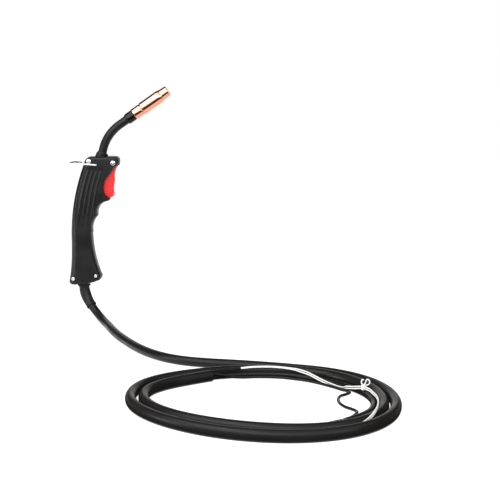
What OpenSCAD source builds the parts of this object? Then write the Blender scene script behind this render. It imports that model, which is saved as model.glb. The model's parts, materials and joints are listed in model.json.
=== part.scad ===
// Welding torch with a moulded pistol handle, a bent neck, a slip-on copper
// nozzle and a coiled hose. Millimetres. X points from the back of the handle
// to the trigger, Z points up and Y points to the far half of the handle.
// The origin is the middle of the grip.

/* [Handle] */
// Height of the handle's top face above the middle of the grip
handle_top = 91.5; // [88:0.5:95]
// Half of the handle's thickness at the head
head_half = 15; // [14:0.5:17]
// Half of the handle's thickness at the waist
waist_half = 13.6; // [12.5:0.1:15]
// X of the handle's back at the waist
back_x = -15.5; // [-17:0.1:-14.5]
// Radius of the long arc of the handle's back
back_arc_r = 253; // [245:1:270]
// Distance between the flutes in the handle's side
flute_pitch = 5.8; // [5.2:0.1:6.4]
// Depth of the flutes
flute_depth = 0.9; // [0:0.1:1.2]

/* [Trigger] */
// Half of the trigger's width
trigger_half = 8.3; // [7.5:0.1:8.4]
// Radius of the sleeve that the trigger turns on
pivot_r = 2.5; // [2.3:0.1:2.7]
// Running clearance round the sleeve
pivot_gap = 0.05; // [0.03:0.01:0.08]

/* [Neck and nozzle] */
// Radius of the neck's bend
neck_bend_r = 55; // [50:1:60]
// Outer radius of the neck's sleeve
neck_r = 5.6; // [5.4:0.1:5.8]
// Outer radius of the insulator's collar
collar_r = 7.2; // [7:0.1:7.5]
// Length of the insulator's collar
collar_len = 12.2; // [11:0.1:13]
// Length of the copper nozzle
nozzle_len = 54.5; // [52:0.5:57]
// Radius of the hole in the contact tip
wire_hole_r = 0.5; // [0.4:0.05:0.6]

/* [Hose] */
// Radius of the hose where it is round
hose_r = 5.4; // [5:0.1:5.6]
// Half width of the coiled hose
coil_half_w = 5.5; // [5.2:0.1:5.7]
// Half height of the coiled hose
coil_half_h = 6.5; // [5.8:0.1:6.8]
// Radius of the outer turn
coil_r = 130; // [126:1:133]
// How far the second turn lies inside the first
coil_lane = 12; // [11.6:0.1:13]

/* [Hidden] */
fn_fine = 48;

// ---------- Sweeps ----------

function unit(v) = v / norm(v);
function flat_side(t) = unit(cross(t, [0, 0, 1]));
function carried(v, t) = unit(v - (v * t) * t);
// Direction of a line of points at each of them
function along(line) = [for (i = [0:len(line) - 1])
    unit(line[min(i + 1, len(line) - 1)] - line[max(i - 1, 0)])];
// Sideways directions that turn as little as they can down the line
function sides_down(ts, v, i = 0, found = []) =
    i == len(ts) ? found :
    let (s = carried(v, ts[i])) sides_down(ts, s, i + 1, concat(found, [s]));
function oval(c, s, u, w, h, n) = [for (k = [0:n - 1])
    c + s * (w * cos(360 * k / n)) + u * (h * sin(360 * k / n))];

// A closed skin over rings of n points each
module skin(rings) {
    n = len(rings[0]);
    last = len(rings) - 1;
    walls = [for (i = [0:last - 1], k = [0:n - 1])
        let (a = i * n + k, b = i * n + (k + 1) % n, c = a + n, d = b + n)
        each [[a, c, b], [b, c, d]]];
    caps = [for (k = [1:n - 2])
        each [[0, k, k + 1], [last * n, last * n + k + 1, last * n + k]]];
    polyhedron(points = [for (r = rings) each r], faces = concat(walls, caps));
}

// A round tube with its own radius at each point
module round_tube(line, radii, n, first_side) {
    ts = along(line);
    ss = sides_down(ts, first_side);
    skin([for (i = [0:len(line) - 1])
        oval(line[i], ss[i], cross(ts[i], ss[i]), radii[i], radii[i], n)]);
}

// A tube that stays upright, w and h being half its width and height
module flat_tube(line, w, h, n) {
    ts = along(line);
    skin([for (i = [0:len(line) - 1])
        let (s = flat_side(ts[i]))
        oval(line[i], s, cross(ts[i], s), w, h, n)]);
}

// The hose lies flat on the floor
function pressed(ring) = [for (p = ring) [p[0], p[1], max(p[2], floor_z)]];
function same(value, line) = [for (p = line) value];

// ---------- Places in the handle's plane ----------

// The neck leaves the handle 75 degrees above X and ends 35 degrees above X
neck_foot = [25.3, 0, 90];
foot_angle = 75;
tip_angle = 35;
bend_angle = foot_angle - tip_angle;
foot_straight = 12.2;
arc_start = neck_foot + foot_straight * [cos(foot_angle), 0, sin(foot_angle)];
arc_centre = arc_start + neck_bend_r * [sin(foot_angle), 0, -cos(foot_angle)];
arc_end = arc_centre + neck_bend_r * [-sin(tip_angle), 0, cos(tip_angle)];
tip_straight = 11.2;
nozzle_axis = [cos(tip_angle), 0, sin(tip_angle)];
collar_base = arc_end + tip_straight * nozzle_axis;

pivot_at = [42.2, 83.4];
head_screw_at = [10.6, 85.6];
foot_screws_at = [[-12.7, -69.9], [16.9, -66.1]];
screws_at = concat([head_screw_at, pivot_at], foot_screws_at);
screw_r = 1.75;
screw_head_h = 1.4;
// Head radius, recess radius and the Y that each head sits at: the two screws
// at the foot have smaller heads, sunk in the handle
screw_head_r = [3.3, 3.3, 2.5, 2.5];
screw_recess_r = [3.55, 3.55, 3.2, 3.2];
screw_seat_y = [-14, -14, -11.6, -11.6];
screw_tip_y = 14.6;
nut_r = 3.6;
nut_h = 2.6;

hook_pivot = [20.9, 81];
hook_wire_r = 1.2;
hook_half = 17;
hook_slope = 4;

floor_z = -128;

// ---------- Front end ----------

// Puts Z along the nozzle, starting at the collar's base
module on_nozzle_axis() {
    translate(collar_base) rotate([0, 90 - tip_angle, 0]) children();
}

module turned(profile) {
    rotate_extrude($fn = fn_fine) polygon(profile);
}

spigot_r = 5.9;
spigot_end = 28;
mouth_r = 5.5;
nozzle_end = collar_len + nozzle_len;
ring_end = collar_len + 12;
step_at = nozzle_end - 11;
tip_end = nozzle_end - 4.2;
conductor_r = 4.5;
bore_gap = 0.05;

module nozzle() {
    inner = spigot_r + bore_gap;
    color("#b87446") on_nozzle_axis() turned([
        [inner, collar_len], [7.2, collar_len], [7.7, collar_len + 0.6], [7.7, ring_end - 0.5],
        [7.3, ring_end], [7.3, ring_end + 0.8], [8.3, ring_end + 1.5], [8.3, step_at - 4],
        [7.9, step_at - 0.8], [7, step_at], [6.9, nozzle_end - 0.6], [6.4, nozzle_end],
        [mouth_r, nozzle_end], [mouth_r, step_at - 2], [inner, step_at - 4]
    ]);
}

module contact_tip() {
    base = 30;
    color("#c07a4a") on_nozzle_axis() turned([
        [wire_hole_r, base], [3, base], [3, tip_end - 6], [2.2, tip_end - 0.4],
        [1.8, tip_end], [wire_hole_r, tip_end]
    ]);
}

diffuser_start = 14;
diffuser_end = 37;

module gas_diffuser() {
    hole_r = 0.8;
    color("#b8964e") on_nozzle_axis() difference() {
        turned([
            [1.3, diffuser_start], [conductor_r, diffuser_start], [conductor_r, 33],
            [3.8, diffuser_end], [3, diffuser_end], [3, 30], [1.3, 30]
        ]);
        for (turn = [0:90:270]) rotate(turn) translate([0, 0, 28.6])
            rotate([0, 90, 0]) cylinder(r = hole_r, h = 8, $fn = 24);
    }
}

module nozzle_insulator() {
    color("#16161a") on_nozzle_axis() turned([
        [conductor_r + bore_gap, 0], [6, 0], [collar_r, 2.2], [collar_r, collar_len],
        [spigot_r, collar_len], [spigot_r, spigot_end], [conductor_r + 0.1, spigot_end],
        [conductor_r + 0.1, 13.8], [conductor_r + bore_gap, 13.8]
    ]);
}

// ---------- Neck ----------

// The neck's line, from below the foot to past the end of the bend
function neck_line(below, past) = concat(
    [arc_start - (foot_straight + below) * [cos(foot_angle), 0, sin(foot_angle)]],
    [for (i = [0:bend_steps]) let (a = foot_angle - bend_angle * i / bend_steps)
        arc_centre + neck_bend_r * [-sin(a), 0, cos(a)]],
    [arc_end + past * nozzle_axis]);
bend_steps = 10;

module neck_tube(r, bore_r, below, past, sides, bore_sides) {
    outer = neck_line(below, past);
    inner = neck_line(below + 1, past + 1);
    difference() {
        round_tube(outer, same(r, outer), sides, [0, 1, 0]);
        round_tube(inner, same(bore_r, inner), bore_sides, [0, 1, 0]);
    }
}

sleeve_below = 9;
conductor_below = 42;

module neck_sleeve() {
    color("#1c1c1e")
        neck_tube(neck_r, conductor_r + 0.1, sleeve_below, tip_straight, 32, 24);
}

module neck_conductor() {
    color("#b47848")
        neck_tube(conductor_r, 2.7, conductor_below, tip_straight + diffuser_start, 24, 12);
}

module wire_liner() {
    color("#d8d4c4")
        neck_tube(2.2, 1.1, conductor_below, tip_straight + diffuser_start, 12, 8);
}

// Puts Z up the neck's foot, starting where it meets the handle's top
module on_neck_foot() {
    translate(neck_foot) rotate([0, 90 - foot_angle, 0]) children();
}

flange_r = 8.3;
flange_h = 2.6;
socket_r = 7;
socket_depth = 9;

module neck_socket() {
    color("#1a1a1c") difference() {
        union() {
            translate([neck_foot[0] + 0.4, 0, handle_top])
                cylinder(r = flange_r, h = flange_h, $fn = fn_fine);
            intersection() {
                on_neck_foot() translate([0, 0, -socket_depth])
                    cylinder(r = socket_r, h = socket_depth + 4, $fn = fn_fine);
                translate([0, -20, 0]) cube([60, 40, handle_top + 1]);
            }
        }
        on_neck_foot() translate([0, 0, -30])
            cylinder(r = neck_r + bore_gap, h = 60, $fn = fn_fine);
    }
}

union_top = -conductor_below;
union_len = 20;
union_r = 6.4;

module neck_union() {
    color("#b8964e") on_neck_foot() turned([
        [0, union_top - union_len], [5.2, union_top - union_len], [5.2, union_top - 9],
        [union_r, union_top - 8], [union_r, union_top - 1], [5.6, union_top], [0, union_top]
    ]);
}

union_foot = neck_foot - (conductor_below + union_len) * [cos(foot_angle), 0, sin(foot_angle)];

// ---------- Handle ----------

grip_floor = -78;
back_waist = -14;
// X of the handle's back at height z, without its rounded corners
function back_line(z) = z > back_waist
    ? back_x + pow(z - back_waist, 2) / (2 * back_arc_r)
    : back_x - 4 * pow((back_waist - z) / 60, 3);
function corner(r, past) = r - sqrt(max(0, r * r - past * past));
function back_edge(z) =
    back_line(z) + (z > handle_top - 5.5 ? corner(5.5, z - handle_top + 5.5) : 0)
    + (z < grip_floor + 4 ? corner(4, grip_floor + 4 - z) : 0);

lobe_r = 7.7;
lower_scallop = [38, -4, 25];
upper_scallop = [37.4, 16.5, 17.2];
notch = [53, 50.5, 24];
function hollow(c, z) = c[0] - sqrt(max(0, c[2] * c[2] - pow(z - c[1], 2)));
function bulge(c, r, z) = c[0] + sqrt(max(0, r * r - pow(z - c[1], 2)));
horn_low = 33.6;
horn_top = 37.6;
lobe_low = 79.2;
// X of the handle's front edge at height z: foot lobe, grip, two finger
// scallops, horn below the trigger, trigger notch and head lobe
function front_edge(z) =
    z < -77 ? -8.4 :
    z < -74 ? lookup(z, [[-77, 8], [-74, 13]]) :
    z < -66 ? bulge(foot_screws_at[1], lobe_r, max(z, -73.6)) - (z < -73 ? 2 : 0) :
    z < -8 ? 12.8 + pow(-8 - z, 2) / 300 :
    z < 13.7 ? hollow(lower_scallop, z) :
    z < horn_low ? hollow(upper_scallop, z) :
    z <= horn_top ? 36.8 - corner(2.2, abs(z - 35.6)) :
    z < 62 ? hollow(notch, z) :
    z < lobe_low ? 31.9 + 0.8 * (z - 62) :
    z < 84 ? bulge([pivot_at[0], 84], lobe_r, z) :
    49.9 - (z > handle_top - 5 ? corner(5, z - handle_top + 5) : 0);

function half_thickness(z) = lookup(z, [
    [grip_floor, waist_half + 0.6], [-30, waist_half], [0, waist_half],
    [45, head_half], [handle_top, head_half]]);
function end_round(z) = let (past = 3 - min(3, handle_top - z, z - grip_floor))
    3 - sqrt(9 - past * past);
function in_notch(z) = z > horn_top && z < lobe_low;

flute_top = 77;
flute_first = 4.4;
function ramp(t) = let (c = max(0, min(1, t))) c * c * (3 - 2 * c);
function flute_fade(z) = ramp((flute_top - z) / 3) * ramp((z + 20) / 45);
flute_region = 29;
function flute(d) = d < flute_first || d > flute_region
    ? 0 : 0.5 - 0.5 * cos(360 * (d - flute_first) / flute_pitch);

back_round = 9.5;
// Y of the side face at height z, d behind the front and e in front of the back
function face_y(z, d, width) =
    let (front_round = in_notch(z) ? 1.6 : 4.6,
         b = min(1, d / back_round), f = min(1, (width - d) / front_round),
         crown = sqrt(1 - pow(1 - b, 2)) * pow(1 - pow(1 - f, 2.6), 1 / 2.6),
         t = half_thickness(z) - end_round(z))
    t * crown - flute_depth * flute_fade(z) * flute(d) * crown;

// Columns from the back edge: fixed over the flutes, then shared to the front
flute_columns = concat([0, 0.35, 1.2, 2.6, 4.4], [for (i = [1:17]) 4.4 + 1.45 * i]);
front_columns = [0.25, 0.5, 0.7, 0.82, 0.91, 0.97, 1];
function columns(width) =
    let (squeeze = min(1, (width - 6) / flute_region),
         fluted = flute_columns * squeeze, rest = width - fluted[len(fluted) - 1])
    concat(fluted, [for (s = front_columns) width - rest * (1 - s)]);

handle_rows = [
    -78, -77.6, -77.01, -76.9, -75.4, -74, -73.5, -72, -69.5, -66.01, -61, -55, -48, -40, -32,
    -24, -16, -8, -1, 5, 9.5, 12.5, 13.69, 16, 20, 24, 28, 31, 33.59, 33.7, 35.6, 37.4, 37.7,
    41, 46, 51, 56, 62, 66, 70, 74, 76, 77.5, 79.1, 79.21, 81, 84, 87, 89.2, 90.8, 91.5
];

function handle_row(z) =
    let (left = back_edge(z), width = front_edge(z) - left)
    [for (d = columns(width)) [left + d, -face_y(z, d, width), z]];

module handle_solid() {
    skin([for (z = handle_rows) handle_row(z)]);
}

// The hollow of the lower grip, a plain prism 3.5 mm inside the outline
module upright_prism(outline, depth) {
    translate([0, 1, 0]) rotate([90, 0, 0]) linear_extrude(depth + 1) polygon(outline);
}

grip_hollow = [
    [-13, -62], [-11.6, -48], [-11.4, -20], [-10.4, 0], [-8, 25], [-4.6, 45], [0, 62], [4.5, 78],
    [29, 78], [25, 66], [25, 36], [21, 34], [18, 28], [15, 18], [12, 6], [9, -6], [9.4, -25],
    [12.5, -45], [14, -54], [9, -62]
];
trigger_pocket = [
    [21.4, 44], [21.8, 60], [23, 68.5], [29, 71], [33, 76], [36, 84], [37, 88], [41, 90.2],
    [46, 88.6], [48.6, 84], [51, 79], [52, 37.9], [31.5, 37.9], [25, 39.5]
];
pocket_half = 8.7;
grip_depth = 10.6;
boss_r = 3.6;

module boss(at, r) {
    translate([at[0], 0, at[1]]) rotate([90, 0, 0])
        cylinder(r = r, h = 40, center = true, $fn = fn_fine);
}

spring_seat = [[20.5, 43.6], [23.3, 43.6], [23.3, 50.4], [22, 50.4]];
switch_rib = [[21.9, 53.6], [24.1, 53.6], [24.1, 66.4], [21.9, 66.4]];
switch_rib_from = 4.9;

// A rib that stands on the half's wall and ends at a distance from the middle
module rib(outline, from) {
    translate([0, -from, 0]) rotate([90, 0, 0]) linear_extrude(14 - from) polygon(outline);
}

module handle_half() {
    difference() {
        handle_solid();
        difference() {
            union() {
                upright_prism(grip_hollow, grip_depth);
                upright_prism(trigger_pocket, pocket_half);
            }
            boss(head_screw_at, boss_r);
            rib(spring_seat, -1);
            rib(switch_rib, switch_rib_from);
        }
        for (p = screws_at) boss(p, screw_r + 0.1);
        on_neck_foot() translate([0, 0, -20])
            cylinder(r = socket_r + bore_gap, h = 40, $fn = fn_fine);
        translate([0, 0, grip_floor - 2]) cylinder(r = boot_neck_r + bore_gap, h = 20, $fn = fn_fine);
        translate([hook_pivot[0], -hook_half + hook_leg_in + 0.2, hook_pivot[1]])
            rotate([90, 0, 0]) cylinder(r = hook_wire_r + bore_gap, h = 10, $fn = fn_fine);
    }
}

module handle_shell_near() {
    color("#2a2b2c") difference() {
        handle_half();
        for (i = [0:3]) translate([screws_at[i][0], screw_seat_y[i], screws_at[i][1]])
            rotate([90, 0, 0]) cylinder(r = screw_recess_r[i], h = 8, $fn = fn_fine);
    }
}

module handle_shell_far() {
    color("#2a2b2c") mirror([0, 1, 0]) difference() {
        handle_half();
        for (p = screws_at) translate([p[0], -head_half + nut_h, p[1]])
            rotate([90, 0, 0]) cylinder(r = nut_r + 0.25, h = 6, $fn = fn_fine);
    }
}

module handle_screws() {
    color("#d8dadc") for (i = [0:3])
        translate([screws_at[i][0], screw_seat_y[i], screws_at[i][1]]) rotate([-90, 0, 0]) {
            cylinder(r = screw_r, h = screw_tip_y - screw_seat_y[i], $fn = fn_fine);
            translate([0, 0, -screw_head_h])
                cylinder(r = screw_head_r[i], h = screw_head_h, $fn = fn_fine);
        }
}

module handle_nuts() {
    color("#b8babc") for (p = screws_at) translate([p[0], head_half - nut_h, p[1]])
        rotate([-90, 0, 0]) difference() {
            cylinder(r = nut_r, h = nut_h - 0.1, $fn = 6);
            translate([0, 0, -1]) cylinder(r = screw_r + bore_gap, h = nut_h + 2, $fn = fn_fine);
        }
}

// ---------- Trigger and switch ----------

trigger_front = [
    [47.9, 80.6], [47.2, 79.2], [45, 76.1], [43.6, 72.1], [42.5, 68.2], [42.3, 64.4], [42.8, 60.5],
    [42.2, 56.3], [41.2, 52.3], [41, 48.4], [41.4, 44.4], [41.8, 41], [41.2, 39.2], [39.6, 38.2]
];
trigger_rear = [
    [34, 38.2], [30.4, 40.2], [28.6, 44], [27.8, 50], [27.9, 56], [29.2, 62], [32, 68], [35.4, 74],
    [37.2, 80], [37.2, 86.5], [39, 88.2], [43, 88.9], [45.8, 87.2]
];
trigger_inside = [
    [20, 41], [37.6, 41], [38.6, 43], [38.2, 50], [39.4, 60], [39.2, 66], [39, 70], [35, 73],
    [20, 73]
];
cheek = 2;
lug_z = 60;
lug_x = 30.7;
eye_r = 5.6;

module side_plate(outline, half) {
    rotate([90, 0, 0]) linear_extrude(2 * half, center = true) polygon(outline);
}

module trigger() {
    color("#e8282c") difference() {
        union() {
            difference() {
                side_plate(concat(trigger_front, trigger_rear), trigger_half);
                side_plate(trigger_inside, trigger_half - cheek);
            }
            translate([lug_x, -1.5, lug_z - 1]) cube([10, 3, 2]);
        }
        boss(pivot_at, pivot_r + pivot_gap);
    }
}

module trigger_pivot() {
    color("#c4c6c8") translate([pivot_at[0], 0, pivot_at[1]]) rotate([90, 0, 0])
        difference() {
            cylinder(r = pivot_r, h = 2 * pocket_half - 0.04, center = true, $fn = fn_fine);
            cylinder(r = screw_r + bore_gap, h = 40, center = true, $fn = fn_fine);
        }
}

switch_half = 6;
switch_back = 24.2;
switch_front = 28.5;
plunger_r = 1;

module switch_body() {
    color("#202024") difference() {
        translate([switch_back, -switch_half, 53])
            cube([switch_front - switch_back, 2 * switch_half, 14]);
        translate([switch_front - 3, 0, lug_z]) rotate([0, 90, 0])
            cylinder(r = plunger_r + bore_gap, h = 6, $fn = 24);
    }
}

module switch_plunger() {
    color("#d8443a") translate([switch_front - 0.7, 0, lug_z]) rotate([0, 90, 0])
        cylinder(r = plunger_r, h = lug_x - switch_front + 0.7 - 0.02, $fn = 24);
}

spring_z = 47;
spring_start = 23.35;
spring_end = 38.2;
spring_turns = 5;
spring_r = 2.2;
spring_wire_r = 0.35;
function spring_point(t) = [
    spring_start + spring_wire_r + (spring_end - spring_start - 2 * spring_wire_r) * t,
    spring_r * cos(360 * spring_turns * t), spring_z + spring_r * sin(360 * spring_turns * t)];

module trigger_spring() {
    steps = 8 * spring_turns;
    line = [for (i = [0:steps]) spring_point(i / steps)];
    color("#c0c2c4") round_tube(line, same(spring_wire_r, line), 6, [1, 0, 0]);
}

// ---------- Hook ----------

hook_reach = 19;
hook_leg_in = 5;

module hanging_hook() {
    color("#d4d6d8") translate([hook_pivot[0], 0, hook_pivot[1]]) rotate([0, hook_slope, 0]) {
        for (side = [-1, 1]) {
            translate([0, side * hook_half, 0]) rotate([side * 90, 0, 0])
                cylinder(r = hook_wire_r, h = hook_leg_in, $fn = fn_fine);
            translate([0, side * hook_half, 0]) sphere(r = hook_wire_r, $fn = fn_fine);
            translate([0, side * hook_half, 0]) rotate([0, -90, 0])
                cylinder(r = hook_wire_r, h = hook_reach, $fn = fn_fine);
        }
        translate([-hook_reach, 0, 0]) rotate(90)
            rotate_extrude(angle = 180, $fn = 96) translate([hook_half, 0])
                circle(r = hook_wire_r, $fn = fn_fine);
    }
}

// ---------- Hose ----------

// Centre line of the boot and the first bend of the hose
boot_line = [
    [0, 0, -70], [0, 0, -78.05], [0, 0, -78.1], [0, 0, -80.6], [0.3, -0.1, -84], [1, -0.4, -88],
    [2.2, -0.9, -92], [3.8, -1.8, -96], [5.8, -3.1, -99.8], [8.1, -4.9, -103.4],
    [10.7, -7.2, -106.7]
];
boot_neck_r = 6.6;
boot_radii = [boot_neck_r, boot_neck_r, 8.6, 8.6, 6.8, 7, 7.1, 6.9, 6.6, 6.8, 6.8];

// The hose leaves the boot in the boot's own direction
boot_last = len(boot_line) - 1;
boot_end = boot_line[boot_last];
boot_way = unit(boot_end - boot_line[boot_last - 1]);
hose_line = [
    boot_end + 0.05 * boot_way, boot_end + 1.8 * boot_way, [13.6, -10.2, -109.9], [19.6, -17.4, -115.4], [25.1, -26, -119.4],
    [30, -36, -121.8], [34.6, -48, -122.6], [39.5, -64, -122.6], [47, -90, -122.6],
    [58, -123, -122.6], [69, -151, -122.6], [81, -179, -122.6], [95, -207, -122.6],
    [112, -233, -122.6], [130, -252.5, -122.6], [150, -266, -122.6], [172, -274.5, -122.6],
    [198, -281, -122.6], [225, -288.4, -122.6], [252, -297.2, -122.6]
];
hose_sides = 12;

coil_centre = [234, -429];
coil_from = 20;
coil_to = 682;
rings_a_turn = 24;
coil_skew = 22;
front_lane = 9;
end_lane = 12;
function hump(a, middle, half) = 1 - ramp(abs(a - middle) / half);
// How far the second turn lies inside the first at an angle counted clockwise from +Y
function lane(a) = coil_lane * ramp((a - 285) / 60) + front_lane * hump(a, 545, 75)
    + end_lane * ramp((a - 632) / 48);
function coil_radius(a) = coil_r - lane(a) + 1.2 * hump(a, 270, 60)
    - 1.6 * (hump(a, 105, 60) + hump(a, 465, 60));
function coil_half(a, full) = hose_r + (full - hose_r) * ramp((a - coil_from) / 60);
// The front of the coil is pushed over: its right side forwards and its left side back
function coil_point(a) = [
    coil_centre[0] + coil_radius(a) * sin(a),
    coil_centre[1] + coil_radius(a) * cos(a) - coil_skew * sin(a) * (1 - cos(a)) / 2,
    floor_z + coil_half(a, coil_half_h) * (1 - 0.2 * ramp((a - coil_from) / 60))];
coil_steps = round((coil_to - coil_from) / 360 * rings_a_turn);
coil_angles = [for (i = [0:coil_steps]) coil_from + (coil_to - coil_from) * i / coil_steps];
// Straight ends, one diameter long
function coil_tangent(a) = let (v = coil_point(a + 0.5) - coil_point(a - 0.5))
    unit([v[0], v[1], 0]);
coil_line = concat([coil_point(coil_from) - 2 * hose_r * coil_tangent(coil_from)],
    [for (a = coil_angles) coil_point(a)],
    [coil_point(coil_to) + 2 * coil_half_h * coil_tangent(coil_to)]);
coil_last = coil_steps + 2;
// Least distance between points of the coil a half turn or more apart
coil_least = min([for (i = [0:coil_last], j = [0:coil_last])
    if (j - i > rings_a_turn / 2) norm(coil_line[j] - coil_line[i])]);
echo(coil_gap = coil_least - 2 * coil_half_w);
// Least distance between the hose on its way in and the coil's second turn
hose_least = min([for (p = hose_line, i = [coil_steps / 3:coil_steps]) norm(p - coil_line[floor(i)])]);
echo(hose_gap = hose_least - 2 * coil_half_w);

module strain_relief() {
    color("#18181a") round_tube(boot_line, boot_radii, 24, [0, 1, 0]);
}

module hose_run() {
    way = coil_tangent(coil_from);
    line = concat(hose_line, [coil_line[0] - 6 * way, coil_line[0] - 0.05 * way]);
    color("#1b1b1d") round_tube(line, same(hose_r, line), hose_sides, [0, 1, 0]);
}

module hose_coil() {
    ts = along(coil_line);
    color("#1b1b1d") skin([for (i = [0:coil_last])
        let (s = flat_side(ts[i]), a = coil_angles[max(0, min(i - 1, coil_steps))])
        pressed(oval(coil_line[i], s, cross(ts[i], s), coil_half(a, coil_half_w),
            coil_half(a, coil_half_h), hose_sides))]);
}

inner_cable_line = [
    union_foot, union_foot - 6 * [cos(foot_angle), 0, sin(foot_angle)],
    [4.6, 0, 10], [2, 0, -8], [0, 0, -30], [0, 0, -52], [0, 0, -70]
];
inner_cable_r = 5;

module inner_cable() {
    color("#1d1d1f") round_tube(inner_cable_line, same(inner_cable_r, inner_cable_line), 12, [0, 1, 0]);
}

// ---------- Tails ----------

// A place beyond the hose's cut end: on its way, sideways and at height z
function past_end(on, side, z) = let (e = coil_line[coil_last], t = coil_tangent(coil_to))
    [e[0] + on * t[0] + side * t[1], e[1] + on * t[1] - side * t[0], z];

power_line = [
    past_end(0.05, 0.2, -124.2), past_end(6.6, 0.2, -124.2), [194.6, -328.2, -124.5],
    [206, -323.8, -124.75], [219, -321.2, -124.75], [234, -320.3, -124.75],
    [248, -321.5, -124.75], [261, -324.8, -124.75], [273, -331, -124.75],
    [284, -338.6, -124.75], [295.6, -346, -124.75], [306, -355.2, -124.75],
    [315, -365.5, -124.75], [322.8, -376.6, -124.75], [329.5, -388.6, -124.75],
    [335.3, -401.6, -124.75], [339.2, -415, -124.75], [341.3, -428.5, -124.75],
    [341.6, -442, -124.75], [339.6, -455.3, -124.75], [335.6, -468.8, -124.75],
    [328.6, -481.5, -124.75], [319.5, -493.4, -124.75], [309, -504.2, -124.75]
];
power_r = 3.25;
lug_hole_r = 3.2;
lug_barrel = 12;
lug_palm = 15;
lug_t = 1.8;

gas_line = [
    past_end(0.05, 3.3, -120.6), past_end(3.2, 3.3, -120.6), [194.4, -334.4, -122.8],
    [204, -330.6, -125.2], [214.6, -327.4, -126.4], [226, -325.7, -126.4], [241, -325.9, -126.4],
    [255, -328.5, -126.4], [268, -334.3, -126.4], [280, -341.2, -126.4], [290.5, -350.5, -126.4],
    [300, -361, -126.4], [308.5, -371.5, -126.4], [315, -380.4, -126.4], [320.6, -386.4, -126.4],
    [322, -393, -126.4], [318, -399, -126.4], [312, -406, -126.4],
    [308.7, -418.3, -126.4], [309, -434, -126.4], [313.4, -448, -126.4],
    [319.6, -457, -126.4], [323, -465, -126.4], [321.5, -473, -126.4], [318, -481, -126.4],
    [313.5, -488.5, -126.4], [307, -495, -126.4], [301, -499.5, -126.4]
];
gas_r = 1.5;

lead_line = [
    past_end(0.05, -2.4, -119), past_end(3.6, -2.4, -119), [190, -325, -118.8],
    [200.2, -322.3, -118.6], [211, -319.5, -118.3], [221, -317.4, -117.6], [232, -316.7, -117.3],
    [243, -317, -117.2], [253.7, -320, -117.2], [262, -323.6, -117.4], [270.5, -328, -117.8],
    [277.5, -333.8, -118.7], [283.7, -340.3, -119.6], [290, -347.2, -121.4],
    [296.1, -352, -123.7], [306.3, -362, -126.1], [316, -375.6, -126], [320.4, -384.4, -122.9],
    [325.2, -390.6, -121.7], [330, -397, -119.9], [334.7, -403.4, -118.3], [340, -412, -118.6],
    [342.8, -425, -118.9], [344, -440, -117.8], [343.8, -457, -116.5], [341, -485, -114.2],
    [336.3, -506, -114.6], [330.5, -516.5, -118], [322, -527, -121], [310.8, -536.2, -123.4],
    [296, -542, -123.4], [281, -547, -123.2]
];
lead_half_w = 0.9;
lead_half_h = 1.75;

module power_tail() {
    color("#141416") round_tube(power_line, same(power_r, power_line), 12, [0, 0, 1]);
}

// Puts X along the lug, starting at the end of the power cable
module on_power_end() {
    last = len(power_line) - 1;
    way = power_line[last] - power_line[last - 1];
    translate(power_line[last]) rotate(atan2(way[1], way[0])) children();
}

module power_lug() {
    color("#c8a27c") on_power_end() difference() {
        union() {
            rotate([0, 90, 0]) cylinder(r = power_r, h = lug_barrel, $fn = fn_fine);
            translate([lug_barrel - 3, -5, -power_r + 0.1]) cube([lug_palm - 2, 10, lug_t]);
            translate([lug_barrel + lug_palm - 5, 0, -power_r + 0.1])
                cylinder(r = 5, h = lug_t, $fn = fn_fine);
        }
        translate([lug_barrel + lug_palm - 5, 0, -10]) cylinder(r = lug_hole_r, h = 20, $fn = fn_fine);
    }
}

module gas_tail() {
    color("#161618") round_tube(gas_line, same(gas_r, gas_line), 8, [0, 0, 1]);
}

module gas_ferrule() {
    last = len(gas_line) - 1;
    way = gas_line[last] - gas_line[last - 1];
    color("#b8964e") translate(gas_line[last]) rotate(atan2(way[1], way[0])) rotate([0, 90, 0])
        cylinder(r = 1.55, h = 12, $fn = fn_fine);
}

module trigger_lead() {
    color("#e8e8e4") flat_tube(lead_line, lead_half_w, lead_half_h, 8);
}

module lead_terminals() {
    last = len(lead_line) - 1;
    way = lead_line[last] - lead_line[last - 1];
    color("#c8cacc") translate(lead_line[last]) rotate(atan2(way[1], way[0]) + 2)
        for (side = [0, 1]) mirror([0, 0, side]) {
            translate([0, 0, 1.2]) rotate([0, 90, 0]) cylinder(r = 1.05, h = 8, $fn = fn_fine);
            translate([7, -0.4, 0.1]) cube([9, 0.8, 4.6]);
        }
}

tie_index = 20;
tie_wire = 0.7;
tie_band = 0.6;
// The tie's open loop and its bent end, standing on the band
tie_loop = [
    [0.6, -0.5, 1.6], [2.6, -0.4, 1.8], [4.6, -0.3, 2], [6.2, -0.2, 3.4], [6.6, 0, 5.4],
    [5.6, 0.2, 7.2], [3.9, 0.4, 7.4], [2.8, 0.5, 6], [2.2, 0.6, 4], [0.9, 0.7, 2.1]
];
tie_ear = [
    [-0.2, 0, 1.8], [-1.4, 0, 3.4], [-1.7, 0.1, 5.6], [-1, 0.2, 7.2], [0.3, 0.3, 7.2]
];

module lead_tie() {
    here = lead_line[tie_index];
    way = lead_line[tie_index + 1] - lead_line[tie_index - 1];
    half_w = lead_half_w + 0.2;
    half_h = lead_half_h + 0.5;
    color("#efefec") translate(here) {
        rotate(atan2(way[1], way[0])) difference() {
            translate([-1.4, -half_w - tie_band, -half_h - tie_band])
                cube([2.8, 2 * (half_w + tie_band), 2 * (half_h + tie_band)]);
            translate([-3, -half_w, -half_h]) cube([6, 2 * half_w, 2 * half_h]);
        }
        lift_up = [0, 0, half_h - 1.6];
        round_tube([for (p = tie_loop) p + lift_up], same(tie_wire, tie_loop), 6, [0, 1, 0]);
        round_tube([for (p = tie_ear) p + lift_up], same(tie_wire, tie_ear), 6, [0, 1, 0]);
    }
}

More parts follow.
